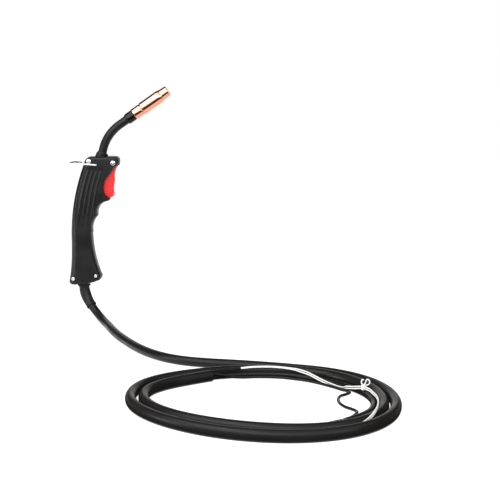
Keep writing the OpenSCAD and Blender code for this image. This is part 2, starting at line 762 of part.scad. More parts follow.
nozzle();
contact_tip();
gas_diffuser();
nozzle_insulator();
neck_sleeve();
neck_conductor();
neck_socket();
wire_liner();
neck_union();
handle_shell_near();
handle_shell_far();
handle_screws();
handle_nuts();
trigger();
trigger_pivot();
trigger_spring();
switch_body();
switch_plunger();
hanging_hook();
inner_cable();
strain_relief();
hose_run();
hose_coil();
power_tail();
power_lug();
gas_tail();
gas_ferrule();
trigger_lead();
lead_terminals();
lead_tie();
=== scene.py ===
# %% [markdown]
# # A welding torch with a coiled hose
#
# A welder's torch is a pistol handle with a trigger, a bent neck, a copper
# nozzle and a long rubber hose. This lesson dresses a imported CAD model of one:
# the CAD solids give every place and size, and Blender adds the smooth forms,
# the finishes, the light and the camera. Each dressed piece rides with the
# CAD body that it belongs to, so it moves when the joints move.

import json
from math import ceil, cos, pi, radians, sin, sqrt

import bmesh
import bpy
import numpy as np
from mathutils import Matrix, Vector

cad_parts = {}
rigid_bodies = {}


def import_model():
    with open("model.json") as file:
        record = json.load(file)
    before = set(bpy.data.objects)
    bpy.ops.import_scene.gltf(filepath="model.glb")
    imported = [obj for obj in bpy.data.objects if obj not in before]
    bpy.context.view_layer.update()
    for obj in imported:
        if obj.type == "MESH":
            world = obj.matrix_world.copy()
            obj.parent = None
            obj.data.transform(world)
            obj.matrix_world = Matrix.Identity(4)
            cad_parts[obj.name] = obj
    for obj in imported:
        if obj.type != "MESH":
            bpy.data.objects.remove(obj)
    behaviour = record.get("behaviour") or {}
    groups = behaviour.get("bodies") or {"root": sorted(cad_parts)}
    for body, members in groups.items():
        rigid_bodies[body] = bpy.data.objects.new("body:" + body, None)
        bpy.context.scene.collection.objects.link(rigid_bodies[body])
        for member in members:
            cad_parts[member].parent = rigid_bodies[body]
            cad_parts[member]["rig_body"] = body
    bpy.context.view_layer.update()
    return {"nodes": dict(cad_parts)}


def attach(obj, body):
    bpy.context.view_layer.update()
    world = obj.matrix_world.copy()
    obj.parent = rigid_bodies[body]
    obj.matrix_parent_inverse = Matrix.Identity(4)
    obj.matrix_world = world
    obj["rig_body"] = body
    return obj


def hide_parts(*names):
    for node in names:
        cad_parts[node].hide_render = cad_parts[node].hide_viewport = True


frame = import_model()


def stands_for(piece, *nodes):
    """The piece rides with the CAD nodes and is shown in their place."""
    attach(piece, frame["nodes"][nodes[0]]["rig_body"])
    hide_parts(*nodes)
    print(piece.name, "stands for", ", ".join(nodes))


# %% [markdown]
# ## Sizes, and where things are
#
# A maker's drawing is in millimetres and Blender works in metres, so one
# function turns the one into the other. The handle, the neck and the nozzle
# all lie in one plane, the parting plane of the handle, where Y is 0. The neck
# is a straight, an arc and a straight. Its line could be drawn as a curve by
# hand, but four sizes give it exactly, and the nozzle's place with it.

# %% Millimetres to metres, and the neck's own line
def mm(*values):
    """A point given in millimetres, in metres."""
    return Vector(values) * 0.001


FLOOR_Z = -128
# The neck's foot in the handle, its slope at both ends in degrees, and its lengths
NECK_FOOT = np.array([25.3, 0, 90])
FOOT_ANGLE, TIP_ANGLE = 75, 35
NECK_BEND_R = 55
FOOT_STRAIGHT, TIP_STRAIGHT = 12.2, 11.2


def heading(angle):
    """The direction in the handle's plane at that angle above X."""
    return np.array([cos(radians(angle)), 0, sin(radians(angle))])


foot_way, nozzle_way = heading(FOOT_ANGLE), heading(TIP_ANGLE)
arc_start = NECK_FOOT + FOOT_STRAIGHT * foot_way
arc_centre = arc_start + NECK_BEND_R * heading(FOOT_ANGLE - 90)
arc_end = arc_centre + NECK_BEND_R * heading(TIP_ANGLE + 90)
collar_base = arc_end + TIP_STRAIGHT * nozzle_way
print("the collar starts at", collar_base.round(2))

# %% [markdown]
# ## The camera
#
# The torch is seen from the front and a little above, through a long lens. A
# wide lens close by would make the coil's front look much thicker than its
# back, so the camera stands about a metre and a half away and looks down a few
# degrees.

# %% Place the camera
def linked(name, data):
    """An object of that name with that data, linked to the scene."""
    made = bpy.data.objects.new(name, data)
    bpy.context.scene.collection.objects.link(made)
    return made


LOOK_DOWN = 7.6
camera_data = bpy.data.cameras.new("camera")
camera_data.lens = 86.4
camera_data.sensor_width = 36
camera_data.clip_start = 0.05
camera = linked("camera", camera_data)
camera.location = mm(221, -1580, 178)
camera.rotation_euler = (radians(90 - LOOK_DOWN), 0, 0)
bpy.context.scene.camera = camera
bpy.context.scene.view_settings.view_transform = "Standard"
print("the camera looks down by", LOOK_DOWN, "degrees")

# %% [markdown]
# ## Nodes in one line each
#
# Materials and Geometry Nodes are both node trees. One small function adds a
# node with its settings and its inputs, so a tree reads like a recipe.

# %% A helper for every kind of node
def add(tree, kind, inputs=None, **settings):
    """Adds a node. inputs gives each socket a value or another node's output."""
    node = tree.nodes.new(kind)
    for key, value in settings.items():
        setattr(node, key, value)
    for key, value in (inputs or {}).items():
        if isinstance(value, bpy.types.NodeSocket):
            tree.links.new(value, node.inputs[key])
        else:
            node.inputs[key].default_value = value
    return node


def linear(hex_colour):
    """An sRGB colour such as #b87446 as the linear colour that Blender computes with."""
    parts = [int(hex_colour[i:i + 2], 16) / 255 for i in (1, 3, 5)]
    return [c / 12.92 if c <= 0.04045 else ((c + 0.055) / 1.055) ** 2.4 for c in parts] + [1]


# %% [markdown]
# ## How a finish is made
#
# Almost every finish here is the same idea: a base colour that drifts a
# little, a roughness that drifts with it, and a fine bump at the real size of
# the surface's grain. Image textures would do it too, but they need an unwrap
# and blur when the view comes close. The drift is noise in Object coordinates,
# so it sticks to the piece. A second, slow bump gives the soft waviness of a
# moulded or drawn skin, which shows where a lamp is reflected.

# %% A finish from a base colour, its drift and its grain
def finish(name, colour, other, roughness, metallic=0.0, grain_mm=0.4, bump=0.1,
           drift_mm=12.0, rough_drift=0.08, wave=0.0, stretch=(1, 1, 1), turn=(0, 0, 0),
           **sockets):
    """A material of that name; grain and drift are in millimetres on the object."""
    material = bpy.data.materials.new(name)
    material.use_nodes = True
    tree = material.node_tree
    shader = tree.nodes["Principled BSDF"]
    place = add(tree, "ShaderNodeTexCoord")
    turned = add(tree, "ShaderNodeMapping", {
        "Vector": place.outputs["Object"], "Rotation": turn, "Scale": stretch})
    drift = add(tree, "ShaderNodeTexNoise", {
        "Vector": place.outputs["Object"], "Scale": 1000 / drift_mm, "Detail": 3})
    colours = add(tree, "ShaderNodeMix", {
        "Factor": drift.outputs["Fac"], "A": linear(colour), "B": linear(other)},
        data_type="RGBA")
    rough = add(tree, "ShaderNodeMapRange", {
        "Value": drift.outputs["Fac"], "From Min": 0.3, "From Max": 0.7,
        "To Min": max(0.03, roughness - rough_drift), "To Max": roughness + rough_drift})
    slow = add(tree, "ShaderNodeBump", {
        "Height": drift.outputs["Fac"], "Strength": wave, "Distance": drift_mm / 20000})
    grain = add(tree, "ShaderNodeTexNoise", {
        "Vector": turned.outputs["Vector"], "Scale": 1000 / grain_mm, "Detail": 2})
    bumped = add(tree, "ShaderNodeBump", {
        "Height": grain.outputs["Fac"], "Strength": bump, "Distance": grain_mm / 4000,
        "Normal": slow.outputs["Normal"]})
    tree.links.new(colours.outputs["Result"], shader.inputs["Base Color"])
    tree.links.new(rough.outputs["Result"], shader.inputs["Roughness"])
    tree.links.new(bumped.outputs["Normal"], shader.inputs["Normal"])
    shader.inputs["Metallic"].default_value = metallic
    for key, value in sockets.items():
        shader.inputs[key.replace("_", " ")].default_value = value
    return material


# %% [markdown]
# ## The finishes
#
# - The handle is moulded nylon with glass fibre. The mould is spark-eroded, so
#   its skin has a fine satin grain. It is nearly black.
# - The hose jacket is extruded rubber, smoother than the handle. It has soft
#   wide highlights and a slow waviness.
# - The nozzle is drawn copper, polished like a mirror, with fine turning marks
#   round it. The tip inside it is duller.
# - The screws, the hook and the nuts are steel with a bright zinc plate.
# - The trigger is injection-moulded ABS, semi-gloss red.
#
# The grain of a moulded or plated skin is a few hundredths of a millimetre.
# That is too fine to show, so each grain is drawn at 0.35 to 1.2 mm, as coarse
# as it needs to be to break up a highlight.

# %% Make the finishes
axis_turn = (0, radians(TIP_ANGLE - 90), 0)
# Squeezed across the axis and free along it, the grain becomes rings
RINGS = (0.04, 0.04, 1)
# Spark-eroded nylon: a satin skin that spreads each highlight
nylon = finish("glass_filled_nylon", "#111213", "#18191a", 0.36, grain_mm=0.55, bump=0.2,
               drift_mm=22, Specular_IOR_Level=0.25)
# Extruded rubber: a soft sheen along the hose, with a slow waviness from the die
rubber = finish("extruded_rubber", "#141414", "#1c1c1c", 0.36, grain_mm=1.2, bump=0.12,
                drift_mm=35, wave=0.12, Specular_IOR_Level=0.18)
# The same rubber on thin lines: a little blacker and smoother
cable_rubber = finish("cable_rubber", "#0c0c0c", "#121212", 0.34, grain_mm=0.8, bump=0.12,
                      drift_mm=20, Specular_IOR_Level=0.2)
# Moulded rubber of the boot: the dullest black
soft_rubber = finish("moulded_rubber", "#111112", "#181818", 0.45, grain_mm=0.7, bump=0.2,
                     Specular_IOR_Level=0.24)
# Heat-shrunk polyolefin: smooth, a little wavy where it shrank
shrink_sleeve = finish("polyolefin_sleeve", "#121313", "#191a1a", 0.34, grain_mm=0.8, bump=0.12,
                       wave=0.1, Specular_IOR_Level=0.2)
# Turned and polished phenolic: a deep black with a sharp highlight
phenolic = finish("polished_phenolic", "#08090a", "#0c0d0e", 0.14, grain_mm=0.9, bump=0.03,
                  rough_drift=0.03, Specular_IOR_Level=0.2)
# Polished copper: a pink mirror, its reflections drawn out by the turning marks
copper = finish("polished_copper", "#e2a185", "#d8957a", 0.09, metallic=1.0, grain_mm=0.35,
                bump=0.1, drift_mm=9, rough_drift=0.03, wave=0.1, stretch=RINGS, turn=axis_turn)
# Turned copper that has been hot: darker and duller
turned_copper = finish("turned_copper", "#d48a5c", "#c27c50", 0.3, metallic=1.0, grain_mm=0.4,
                       bump=0.2, stretch=RINGS, turn=axis_turn)
# Turned brass: a yellow metal, not polished after the lathe
brass = finish("turned_brass", "#cfa85a", "#b8924a", 0.3, metallic=1.0, grain_mm=0.4, bump=0.15)
# Bright zinc plate: nearly white, with a tight highlight
zinc = finish("bright_zinc_plate", "#f1f2f3", "#e2e4e6", 0.2, metallic=1.0, grain_mm=0.6,
              bump=0.06, rough_drift=0.05)
# Drawn spring steel: a grey metal with a broad highlight
spring_steel = finish("drawn_spring_steel", "#b9bbbd", "#9fa1a4", 0.3, metallic=1.0)
# Moulded ABS: a strong red with a semi-gloss skin
red_abs = finish("red_abs", "#ee2527", "#e62024", 0.36, grain_mm=0.6, bump=0.12, drift_mm=18)
# Extruded PVC of the lead and the tie: a clean, slightly glossy white
white_pvc = finish("white_pvc", "#f2f2ef", "#e6e6e2", 0.38, grain_mm=0.8, bump=0.08)
# Moulded nylon of the microswitch: a dull dark grey
switch_nylon = finish("switch_nylon", "#26262a", "#1e1e22", 0.5)
# Extruded PTFE of the wire's liner: waxy and off-white
ptfe = finish("white_ptfe", "#dcd9cd", "#d0ccbd", 0.4)
# Tin plate of the lug and the terminals: a soft grey metal
tin_plate = finish("tin_plate", "#c9cacc", "#b4b6b9", 0.32, metallic=1.0, grain_mm=0.7)
print(len(bpy.data.materials), "materials, with those of the CAD model")

# %% [markdown]
# ## A smooth line through a few chosen points
#
# A hose is a fixed length of something that bends evenly. Its route is given by
# a few points, and a Catmull-Rom curve passes through all of them without a
# corner. Blender's own curves would need handles set at each point, and their
# length is harder to read off. Extra columns, such as the half width and half
# height, are smoothed along with the place.

# %% Smooth lines
def smooth_line(points, step_mm):
    """Points along a Catmull-Rom curve through points, about step_mm apart."""
    rows = np.array(points, float)
    rows = np.vstack([2 * rows[0] - rows[1], rows, 2 * rows[-1] - rows[-2]])
    out = []
    for a, b, c, d in zip(rows[:-3], rows[1:-2], rows[2:-1], rows[3:]):
        knots = np.cumsum([0] + [np.linalg.norm(q[:3] - p[:3]) ** 0.5
                                 for p, q in ((a, b), (b, c), (c, d))])
        count = max(1, ceil(np.linalg.norm(c[:3] - b[:3]) / step_mm))
        for t in np.linspace(knots[1], knots[2], count, endpoint=False):
            one = [(p * (k1 - t) + q * (t - k0)) / (k1 - k0) for p, q, k0, k1 in
                   ((a, b, knots[0], knots[1]), (b, c, knots[1], knots[2]),
                    (c, d, knots[2], knots[3]))]
            two = [(p * (k1 - t) + q * (t - k0)) / (k1 - k0) for p, q, k0, k1 in
                   ((one[0], one[1], knots[0], knots[2]), (one[1], one[2], knots[1], knots[3]))]
            out.append((two[0] * (knots[2] - t) + two[1] * (t - knots[1])) / (knots[2] - knots[1]))
    out.append(rows[-2])
    return np.array(out)


def distances(line):
    """How far along the line each of its points is."""
    gaps = np.linalg.norm(np.diff(np.array(line)[:, :3], axis=0), axis=1)
    return np.concatenate([[0], np.cumsum(gaps)])


def unit(v):
    return np.array(v, float) / np.linalg.norm(v)


def end_way(line):
    """The level direction in which a line ends."""
    return unit((line[-1] - line[-3]) * [1, 1, 0])


# %% [markdown]
# ## From points and faces to a piece
#
# A mesh in Blender is a list of points and a list of faces. Most pieces here
# are rings of points, one after the other, with a skin between them: that gives
# even faces along a form, which pulling a cube about by hand does not. Edges
# that turn sharply are marked, so that smooth shading doesn't smear over them.

# %% Meshes from points, and from rings
MERGE_MM = 0.004


def in_metres(points_mm):
    """A list of points in millimetres as Blender takes it."""
    return [tuple(float(v) * 0.001 for v in p) for p in points_mm]


def new_piece(name, points_mm, faces, material, smooth=True):
    """An object with a plain mesh, its points in millimetres, linked to the scene."""
    mesh = bpy.data.meshes.new(name)
    mesh.from_pydata(in_metres(points_mm), [], faces)
    mesh.materials.append(material)
    if smooth:
        mesh.polygons.foreach_set("use_smooth", [True] * len(mesh.polygons))
    return linked(name, mesh)


def tidy_mesh(piece, sharp_degrees=35):
    """Merges doubles, points the faces outwards and marks the sharp edges."""
    work = bmesh.new()
    work.from_mesh(piece.data)
    bmesh.ops.remove_doubles(work, verts=work.verts, dist=MERGE_MM * 0.001)
    bmesh.ops.dissolve_degenerate(work, edges=work.edges, dist=1e-7)
    bmesh.ops.recalc_face_normals(work, faces=work.faces)
    for face in work.faces:
        face.smooth = True
    for edge in work.edges:
        if len(edge.link_faces) == 2:
            edge.smooth = edge.calc_face_angle(0) < radians(sharp_degrees)
    work.to_mesh(piece.data)
    work.free()
    return piece


def skin(name, rings, material, loop=False, sharp_degrees=35):
    """A skin over rings of equally many points; loop joins the last ring to the first."""
    count, sides = len(rings), len(rings[0])
    faces = []
    for i in range(count if loop else count - 1):
        here, there = i * sides, (i + 1) % count * sides
        faces += [(here + k, here + (k + 1) % sides, there + (k + 1) % sides, there + k)
                  for k in range(sides)]
    if not loop:
        faces += [tuple(reversed(range(sides))), tuple(range((count - 1) * sides, count * sides))]
    points = [p for ring in rings for p in ring]
    return tidy_mesh(new_piece(name, points, faces, material), sharp_degrees)


def joined(name, pieces):
    """One piece made of several, with all their materials."""
    work = bmesh.new()
    materials = []
    for piece in pieces:
        first = len(work.faces)
        work.from_mesh(piece.data)
        work.faces.ensure_lookup_table()
        for face in work.faces[first:]:
            finish_here = piece.data.materials[face.material_index]
            if finish_here not in materials:
                materials.append(finish_here)
            face.material_index = materials.index(finish_here)
    mesh = bpy.data.meshes.new(name)
    work.to_mesh(mesh)
    work.free()
    for material in materials:
        mesh.materials.append(material)
    for piece in pieces:
        bpy.data.objects.remove(piece)
    return linked(name, mesh)


# %% [markdown]
# ## Rounded corners and solid tools
#
# Nothing real has a perfectly sharp corner. `eased` cuts each corner of an
# outline back a little and rounds it, before there is a mesh, so no Bevel
# modifier is needed. `plate` and `rod` are plain closed solids, and `carved`
# cuts them out of a piece with Boolean modifiers, as a drill and a milling
# cutter do.

# %% Outlines, plates, rods and cuts
def eased(points, cut_mm, steps=4, closed=True):
    """The same outline, each corner cut back by up to cut_mm and rounded."""
    rows = [np.array(p, float) for p in points]
    out = []
    for i, here in enumerate(rows):
        if not closed and i in (0, len(rows) - 1):
            out.append(here)
            continue
        before, after = rows[i - 1] - here, rows[(i + 1) % len(rows)] - here
        start = here + before * min(cut_mm / np.linalg.norm(before), 0.47)
        end = here + after * min(cut_mm / np.linalg.norm(after), 0.47)
        out += [(1 - t) ** 2 * start + 2 * t * (1 - t) * here + t * t * end
                for t in np.linspace(0, 1, steps)]
    return out


def plate(name, outline, y_from, y_to, material):
    """An outline in X and Z, given a thickness along Y."""
    return skin(name, [[(x, y, z) for x, z in outline] for y in (y_from, y_to)], material)


def rod(name, start, end, radius, material, sides=48):
    """A plain closed cylinder from start to end."""
    way = unit(np.array(end, float) - start)
    side = unit(np.cross(way, [0, 1, 0] if abs(way[1]) < 0.9 else [1, 0, 0]))
    up = np.cross(way, side)
    turns = [2 * pi * k / sides for k in range(sides)]
    return skin(name, [[np.array(p, float) + radius * (cos(t) * side + sin(t) * up)
                        for t in turns] for p in (start, end)], material)


def evaluated_mesh(piece):
    """The piece's mesh as its modifiers leave it."""
    graph = bpy.context.evaluated_depsgraph_get()
    return bpy.data.meshes.new_from_object(piece.evaluated_get(graph), depsgraph=graph)


def carved(piece, tools, operation="DIFFERENCE"):
    """Cuts the tools out of a piece, or adds them to it, and removes the tools."""
    for tool in tools:
        cut = piece.modifiers.new("cut", "BOOLEAN")
        cut.operation, cut.solver, cut.object = operation, "MANIFOLD", tool
    mesh = evaluated_mesh(piece)
    material = piece.data.materials[0]
    piece.modifiers.clear()
    piece.data = mesh
    mesh.materials.clear()
    mesh.materials.append(material)
    mesh.polygons.foreach_set("material_index", [0] * len(mesh.polygons))
    for tool in tools:
        bpy.data.objects.remove(tool)
    return tidy_mesh(piece, sharp_degrees=30)


# %% [markdown]
# ## Sweeping a hose along its line
#
# Each ring of the tube stands square to the line. A bevelled curve does much
# the same, but here the ring's sideways axis stays level, so an oval hose
# doesn't roll over on its way round the coil, and nothing goes below the floor
# that it lies on. An end can be a mouth: a wall with a hollow behind it, as
# where a jacket is cut off and the lines inside go on.

# %% Sweep a tube
def oval(sides=28):
    """A round section of half width 1 and half height 1."""
    turns = np.arange(sides) * 2 * pi / sides
    return np.stack([np.cos(turns), np.sin(turns)], 1)


def swept(name, line, half_w, half_h, material, section=None, roll=0.0, floor=None,
          mouths=(None, None), sharp_degrees=50):
    """A closed tube along line, in millimetres; mouths gives (wall share, depth) for each end."""
    section = oval() if section is None else section
    centres = np.array(line, float)[:, :3]
    along = np.gradient(centres, distances(centres), axis=0)
    along /= np.linalg.norm(along, axis=1)[:, None]
    level = np.cross(along, [0, 0, 1.0])
    steep = np.linalg.norm(level, axis=1) < 0.05
    level[steep] = [0, -1, 0]
    level /= np.linalg.norm(level, axis=1)[:, None]
    up = np.cross(level, along)
    wide = section[None, :, 0] * np.broadcast_to(half_w, len(centres))[:, None]
    high = section[None, :, 1] * np.broadcast_to(half_h, len(centres))[:, None]
    turn = np.radians(np.broadcast_to(roll, len(centres)))[:, None]
    aside = wide * np.cos(turn) - high * np.sin(turn)
    above = wide * np.sin(turn) + high * np.cos(turn)
    rings = (centres[:, None] + level[:, None] * aside[..., None]
             + up[:, None] * above[..., None])
    if floor is not None:
        rings[..., 2] = np.maximum(rings[..., 2], floor)
    rings = list(rings)
    for end, mouth in ((0, mouths[0]), (-1, mouths[1])):
        if mouth is None:
            continue
        share, depth = mouth
        middle, outer = centres[end], rings[end]
        inward = along[end] * (depth if end == 0 else -depth)
        lip = middle + (outer - middle) * (share + 0.04)
        wall = middle + (outer - middle) * share
        extra = [lip, wall + inward * 0.06, wall + inward]
        rings = rings + extra if end == -1 else extra[::-1] + rings
    return skin(name, rings, material, sharp_degrees=sharp_degrees)


# %% [markdown]
# ## The hose and its coil
#
# The hose comes out of the boot, drops to the floor, runs forward and winds
# into a coil of nearly two turns, which ends where the jacket is cut. It could
# be dropped with a cloth or rope simulation, but then it would lie otherwise
# each time. A long soft tube is easiest as one sweep: the floor run is a line of
# chosen points and the coil follows a formula, a circle that draws in to lay its
# second turn inside the first. The front of the coil is pushed over a little.

# %% The boot's and the hose's route
HOSE_R = 5.4
BOOT_POINTS = [
    (0, 0, -70), (0, 0, -78.05), (0, 0, -80.6), (0.3, -0.1, -84), (1, -0.4, -88),
    (2.2, -0.9, -92), (3.8, -1.8, -96), (5.8, -3.1, -99.8), (8.1, -4.9, -103.4),
    (10.7, -7.2, -106.7),
]
RUN_POINTS = [
    (13.6, -10.2, -109.9), (19.6, -17.4, -115.4), (25.1, -26, -119.4), (30, -36, -121.8),
    (34.6, -48, -122.6), (39.5, -64, -122.6), (47, -90, -122.6), (58, -123, -122.6),
    (69, -151, -122.6), (81, -179, -122.6), (95, -207, -122.6), (112, -233, -122.6),
    (130, -252.5, -122.6), (150, -266, -122.6), (172, -274.5, -122.6), (198, -281, -122.6),
    (225, -288.4, -122.6), (252, -297.2, -122.6),
]
COIL_CENTRE = (234, -429)
# The coil's radius, and how far it draws in for its second turn, its front and its end
COIL_R, COIL_LANE, FRONT_LANE, END_LANE = 130, 12, 9, 12
# Where it starts and ends, in degrees clockwise from +Y
COIL_FROM, COIL_TO = 20, 682
# Half the width and height of the hose, a little flattened by lying wound
COIL_HALF_W, COIL_HALF_H = 5.5, 6.5
COIL_SKEW = 22
boot_end = np.array(BOOT_POINTS[-1])
boot_way = unit(boot_end - BOOT_POINTS[-2])


# %% The coil's formula
def ramp(t):
    """0 before 0, 1 after 1, and a smooth rise between."""
    t = min(1, max(0, t))
    return t * t * (3 - 2 * t)


def hump(a, middle, half):
    """1 at the middle angle, and 0 from half degrees away."""
    return 1 - ramp(abs(a - middle) / half)


def coil_radius(a):
    """The coil's radius at angle a, which counts clockwise from +Y over both turns."""
    # Into the second lane after 285 degrees, further in at the front and at the end
    lane = (COIL_LANE * ramp((a - 285) / 60) + FRONT_LANE * hump(a, 545, 75)
            + END_LANE * ramp((a - 632) / 48))
    # A hose keeps some of its own bends, so it isn't a perfect circle
    return COIL_R - lane + 1.2 * hump(a, 270, 60) - 1.6 * (hump(a, 105, 60) + hump(a, 465, 60))


def coil_half(a, full):
    """Half a size of the section at angle a: round at first, and full after 60 degrees."""
    return HOSE_R + (full - HOSE_R) * ramp((a - COIL_FROM) / 60)


def coil_row(a):
    """Place, half width and half height at angle a."""
    t, r = radians(a), coil_radius(a)
    half_h = coil_half(a, COIL_HALF_H)
    return np.array([
        COIL_CENTRE[0] + r * sin(t),
        COIL_CENTRE[1] + r * cos(t) - COIL_SKEW * sin(t) * (1 - cos(t)) / 2,
        FLOOR_Z + half_h * (1 - 0.2 * ramp((a - COIL_FROM) / 60)),
        coil_half(a, COIL_HALF_W), half_h])


def coil_way(a):
    """The coil's level direction at angle a, as a row that coil_row can be moved by."""
    step = coil_row(a + 0.5) - coil_row(a - 0.5)
    return np.append(unit([step[0], step[1], 0]), [0, 0])


# %% Sweep the boot
boot_centre = smooth_line(BOOT_POINTS, 0.5)
boot_at = distances(boot_centre)
boot_length = boot_at[-1]
# Distances along the boot: its collar, its soft bulge and the bead at its far end
COLLAR_AT = [0, 8.0, 8.06, 8.2, 8.6, 10.1, 10.5, 10.65, 11.2]
BULGE_AT = [14, 18, 22, 27, 32]
bead_at = [boot_length - d for d in (3, 2.6, 2.3, 2, 0.3, 0)]
stations = np.concatenate([COLLAR_AT, np.arange(12, boot_length - 3.2, 0.9),
                           boot_length - np.array([3, 2.6, 2.3, 2, 1, 0.3, 0])])
boot_line = np.stack([np.interp(stations, boot_at, boot_centre[:, k]) for k in range(3)], 1)
boot_radius = np.interp(
    stations, COLLAR_AT + BULGE_AT + bead_at,
    [6.6, 6.6, 7.9, 8.35, 8.6, 8.6, 8.35, 7.7, 6.95] + [6.8, 7, 7.1, 6.9, 6.6]
    + [6.45, 6.5, 6.7, 6.8, 6.8, 6.6])
boot = swept("boot", boot_line, boot_radius, boot_radius, soft_rubber, section=oval(48),
             mouths=(None, (0.83, 3)), sharp_degrees=40)
stands_for(boot, "strain_relief")
print("the boot is", round(boot_length, 1), "mm long")

# %% Sweep the hose
into_coil = coil_row(COIL_FROM) - 2 * HOSE_R * coil_way(COIL_FROM)
out_of_coil = coil_row(COIL_TO) + 2 * COIL_HALF_H * coil_way(COIL_TO)
coil_rows = [coil_row(a) for a in np.linspace(COIL_FROM, COIL_TO, 84)]
run_rows = [np.append(p, [HOSE_R, HOSE_R]) for p in
            [boot_end - 2.5 * boot_way, boot_end + 1.8 * boot_way] + RUN_POINTS]
hose_rows = run_rows + [into_coil - 6 * coil_way(COIL_FROM), into_coil] + coil_rows + [out_of_coil]
hose_line = smooth_line(hose_rows, 3)
hose = swept("hose", hose_line, hose_line[:, 3], hose_line[:, 4], rubber, section=oval(32),
             floor=FLOOR_Z, mouths=(None, (0.8, 8)))
stands_for(hose, "hose_run", "hose_coil")

# %% [markdown]
# ## The tails
#
# Where the jacket stops, three lines come out of it: the power cable with its
# lug, a thin gas line that curls as thin tube does, and the trigger's white
# twin lead. Each is a line of chosen points and a sweep of its own size. Chosen
# points show which line lies over which, and that can be checked for gaps.

# %% A place beyond the jacket's cut end
def past_end(on, side, z):
    """The point that far on from the hose's cut end and that far to its right, at height z."""
    way = coil_way(COIL_TO)
    return (out_of_coil[0] + on * way[0] + side * way[1],
            out_of_coil[1] + on * way[1] - side * way[0], z)


def tail(name, points, half_w, half_h, material, step_mm, section=None):
    """Sweeps a tail on the floor; returns the piece and its smooth line."""
    line = smooth_line(points, step_mm)
    piece = swept(name, line, half_w, half_h, material, section=section, floor=FLOOR_Z)
    print(name, "is", round(distances(line)[-1]), "mm long")
    return piece, line


# %% The power cable
POWER_R = 3.25
power_cable, power_line = tail("power_cable", [
    past_end(-5, 0.2, -124.2), past_end(0, 0.2, -124.2), past_end(6.6, 0.2, -124.2),
    (194.6, -328.2, -124.5), (206, -323.8, -124.75), (219, -321.2, -124.75),
    (234, -320.3, -124.75), (248, -321.5, -124.75), (261, -324.8, -124.75),
    (273, -331, -124.75), (284, -338.6, -124.75), (295.6, -346, -124.75),
    (306, -355.2, -124.75), (315, -365.5, -124.75), (322.8, -376.6, -124.75),
    (329.5, -388.6, -124.75), (335.3, -401.6, -124.75), (339.2, -415, -124.75),
    (341.3, -428.5, -124.75), (341.6, -442, -124.75), (339.6, -455.3, -124.75),
    (335.6, -468.8, -124.75), (328.6, -481.5, -124.75), (319.5, -493.4, -124.75),
    (309, -504.2, -124.75),
], POWER_R, POWER_R, cable_rubber, 2)
stands_for(power_cable, "power_tail")

# %% The gas line
GAS_R = 1.5
gas_hose, gas_line = tail("gas_hose", [
    past_end(-5, 3, -121), past_end(0, 3.3, -120.6), past_end(3.2, 3.3, -120.6),
    (194.4, -334.4, -122.8), (204, -330.6, -125.2), (214.6, -327.4, -126.4),
    (226, -325.7, -126.4), (241, -325.9, -126.4), (255, -328.5, -126.4), (268, -334.3, -126.4),
    (280, -341.2, -126.4), (290.5, -350.5, -126.4), (300, -361, -126.4),
    (308.5, -371.5, -126.4), (315, -380.4, -126.4), (320.6, -386.4, -126.4),
    (322, -393, -126.4), (318, -399, -126.4), (312, -406, -126.4), (308.7, -418.3, -126.4),
    (309, -434, -126.4), (313.4, -448, -126.4), (319.6, -457, -126.4), (323, -465, -126.4),
    (321.5, -473, -126.4), (318, -481, -126.4), (313.5, -488.5, -126.4), (307, -495, -126.4),
    (301, -499.5, -126.4),
], GAS_R, GAS_R, cable_rubber, 1.5, oval(16))
stands_for(gas_hose, "gas_tail")

# %% [markdown]
# ### The trigger's twin lead
#
# Two small white wires run side by side, and the first stretch still has its
# black sheath on. Two lines of their own would drift apart, so both wires are
# swept along one line: each has a round section that sits off the line's
# middle. A flat lead twists as it lies. Here it starts out flat and turns
# upright on the way, so that its two wires show one above the other.

# %% The twin lead
LEAD_HALF_W, LEAD_HALF_H = 0.9, 1.75
SHEATH_HALF_W, SHEATH_HALF_H = 1.25, 2.05
LEAD_POINTS = [
    past_end(-5, -2.2, -119.4), past_end(0, -2.4, -119), past_end(3.6, -2.4, -119),
    (190, -325, -118.8), (200.2, -322.3, -118.6), (211, -319.5, -118.3), (221, -317.4, -117.6),
    (232, -316.7, -117.3), (243, -317, -117.2), (253.7, -320, -117.2), (262, -323.6, -117.4),
    (270.5, -328, -117.8), (277.5, -333.8, -118.7), (283.7, -340.3, -119.6),
    (290, -347.2, -121.4), (296.1, -352, -123.7), (306.3, -362, -126.1), (316, -375.6, -126),
    (320.4, -384.4, -122.9), (325.2, -390.6, -121.7), (330, -397, -119.9),
    (334.7, -403.4, -118.3), (340, -412, -118.6), (342.8, -425, -118.9), (344, -440, -117.8),
    (343.8, -457, -116.5), (341, -485, -114.2), (336.3, -506, -114.6), (330.5, -516.5, -118),
    (322, -527, -121), (310.8, -536.2, -123.4), (296, -542, -123.4), (281, -547, -123.2),
]
# Points of the lead where its sheath ends, its twist starts and ends, and the tie sits
SHEATH_END = 5
FLAT_UNTIL, UPRIGHT_FROM = 10, 13
TIE_AT = 21
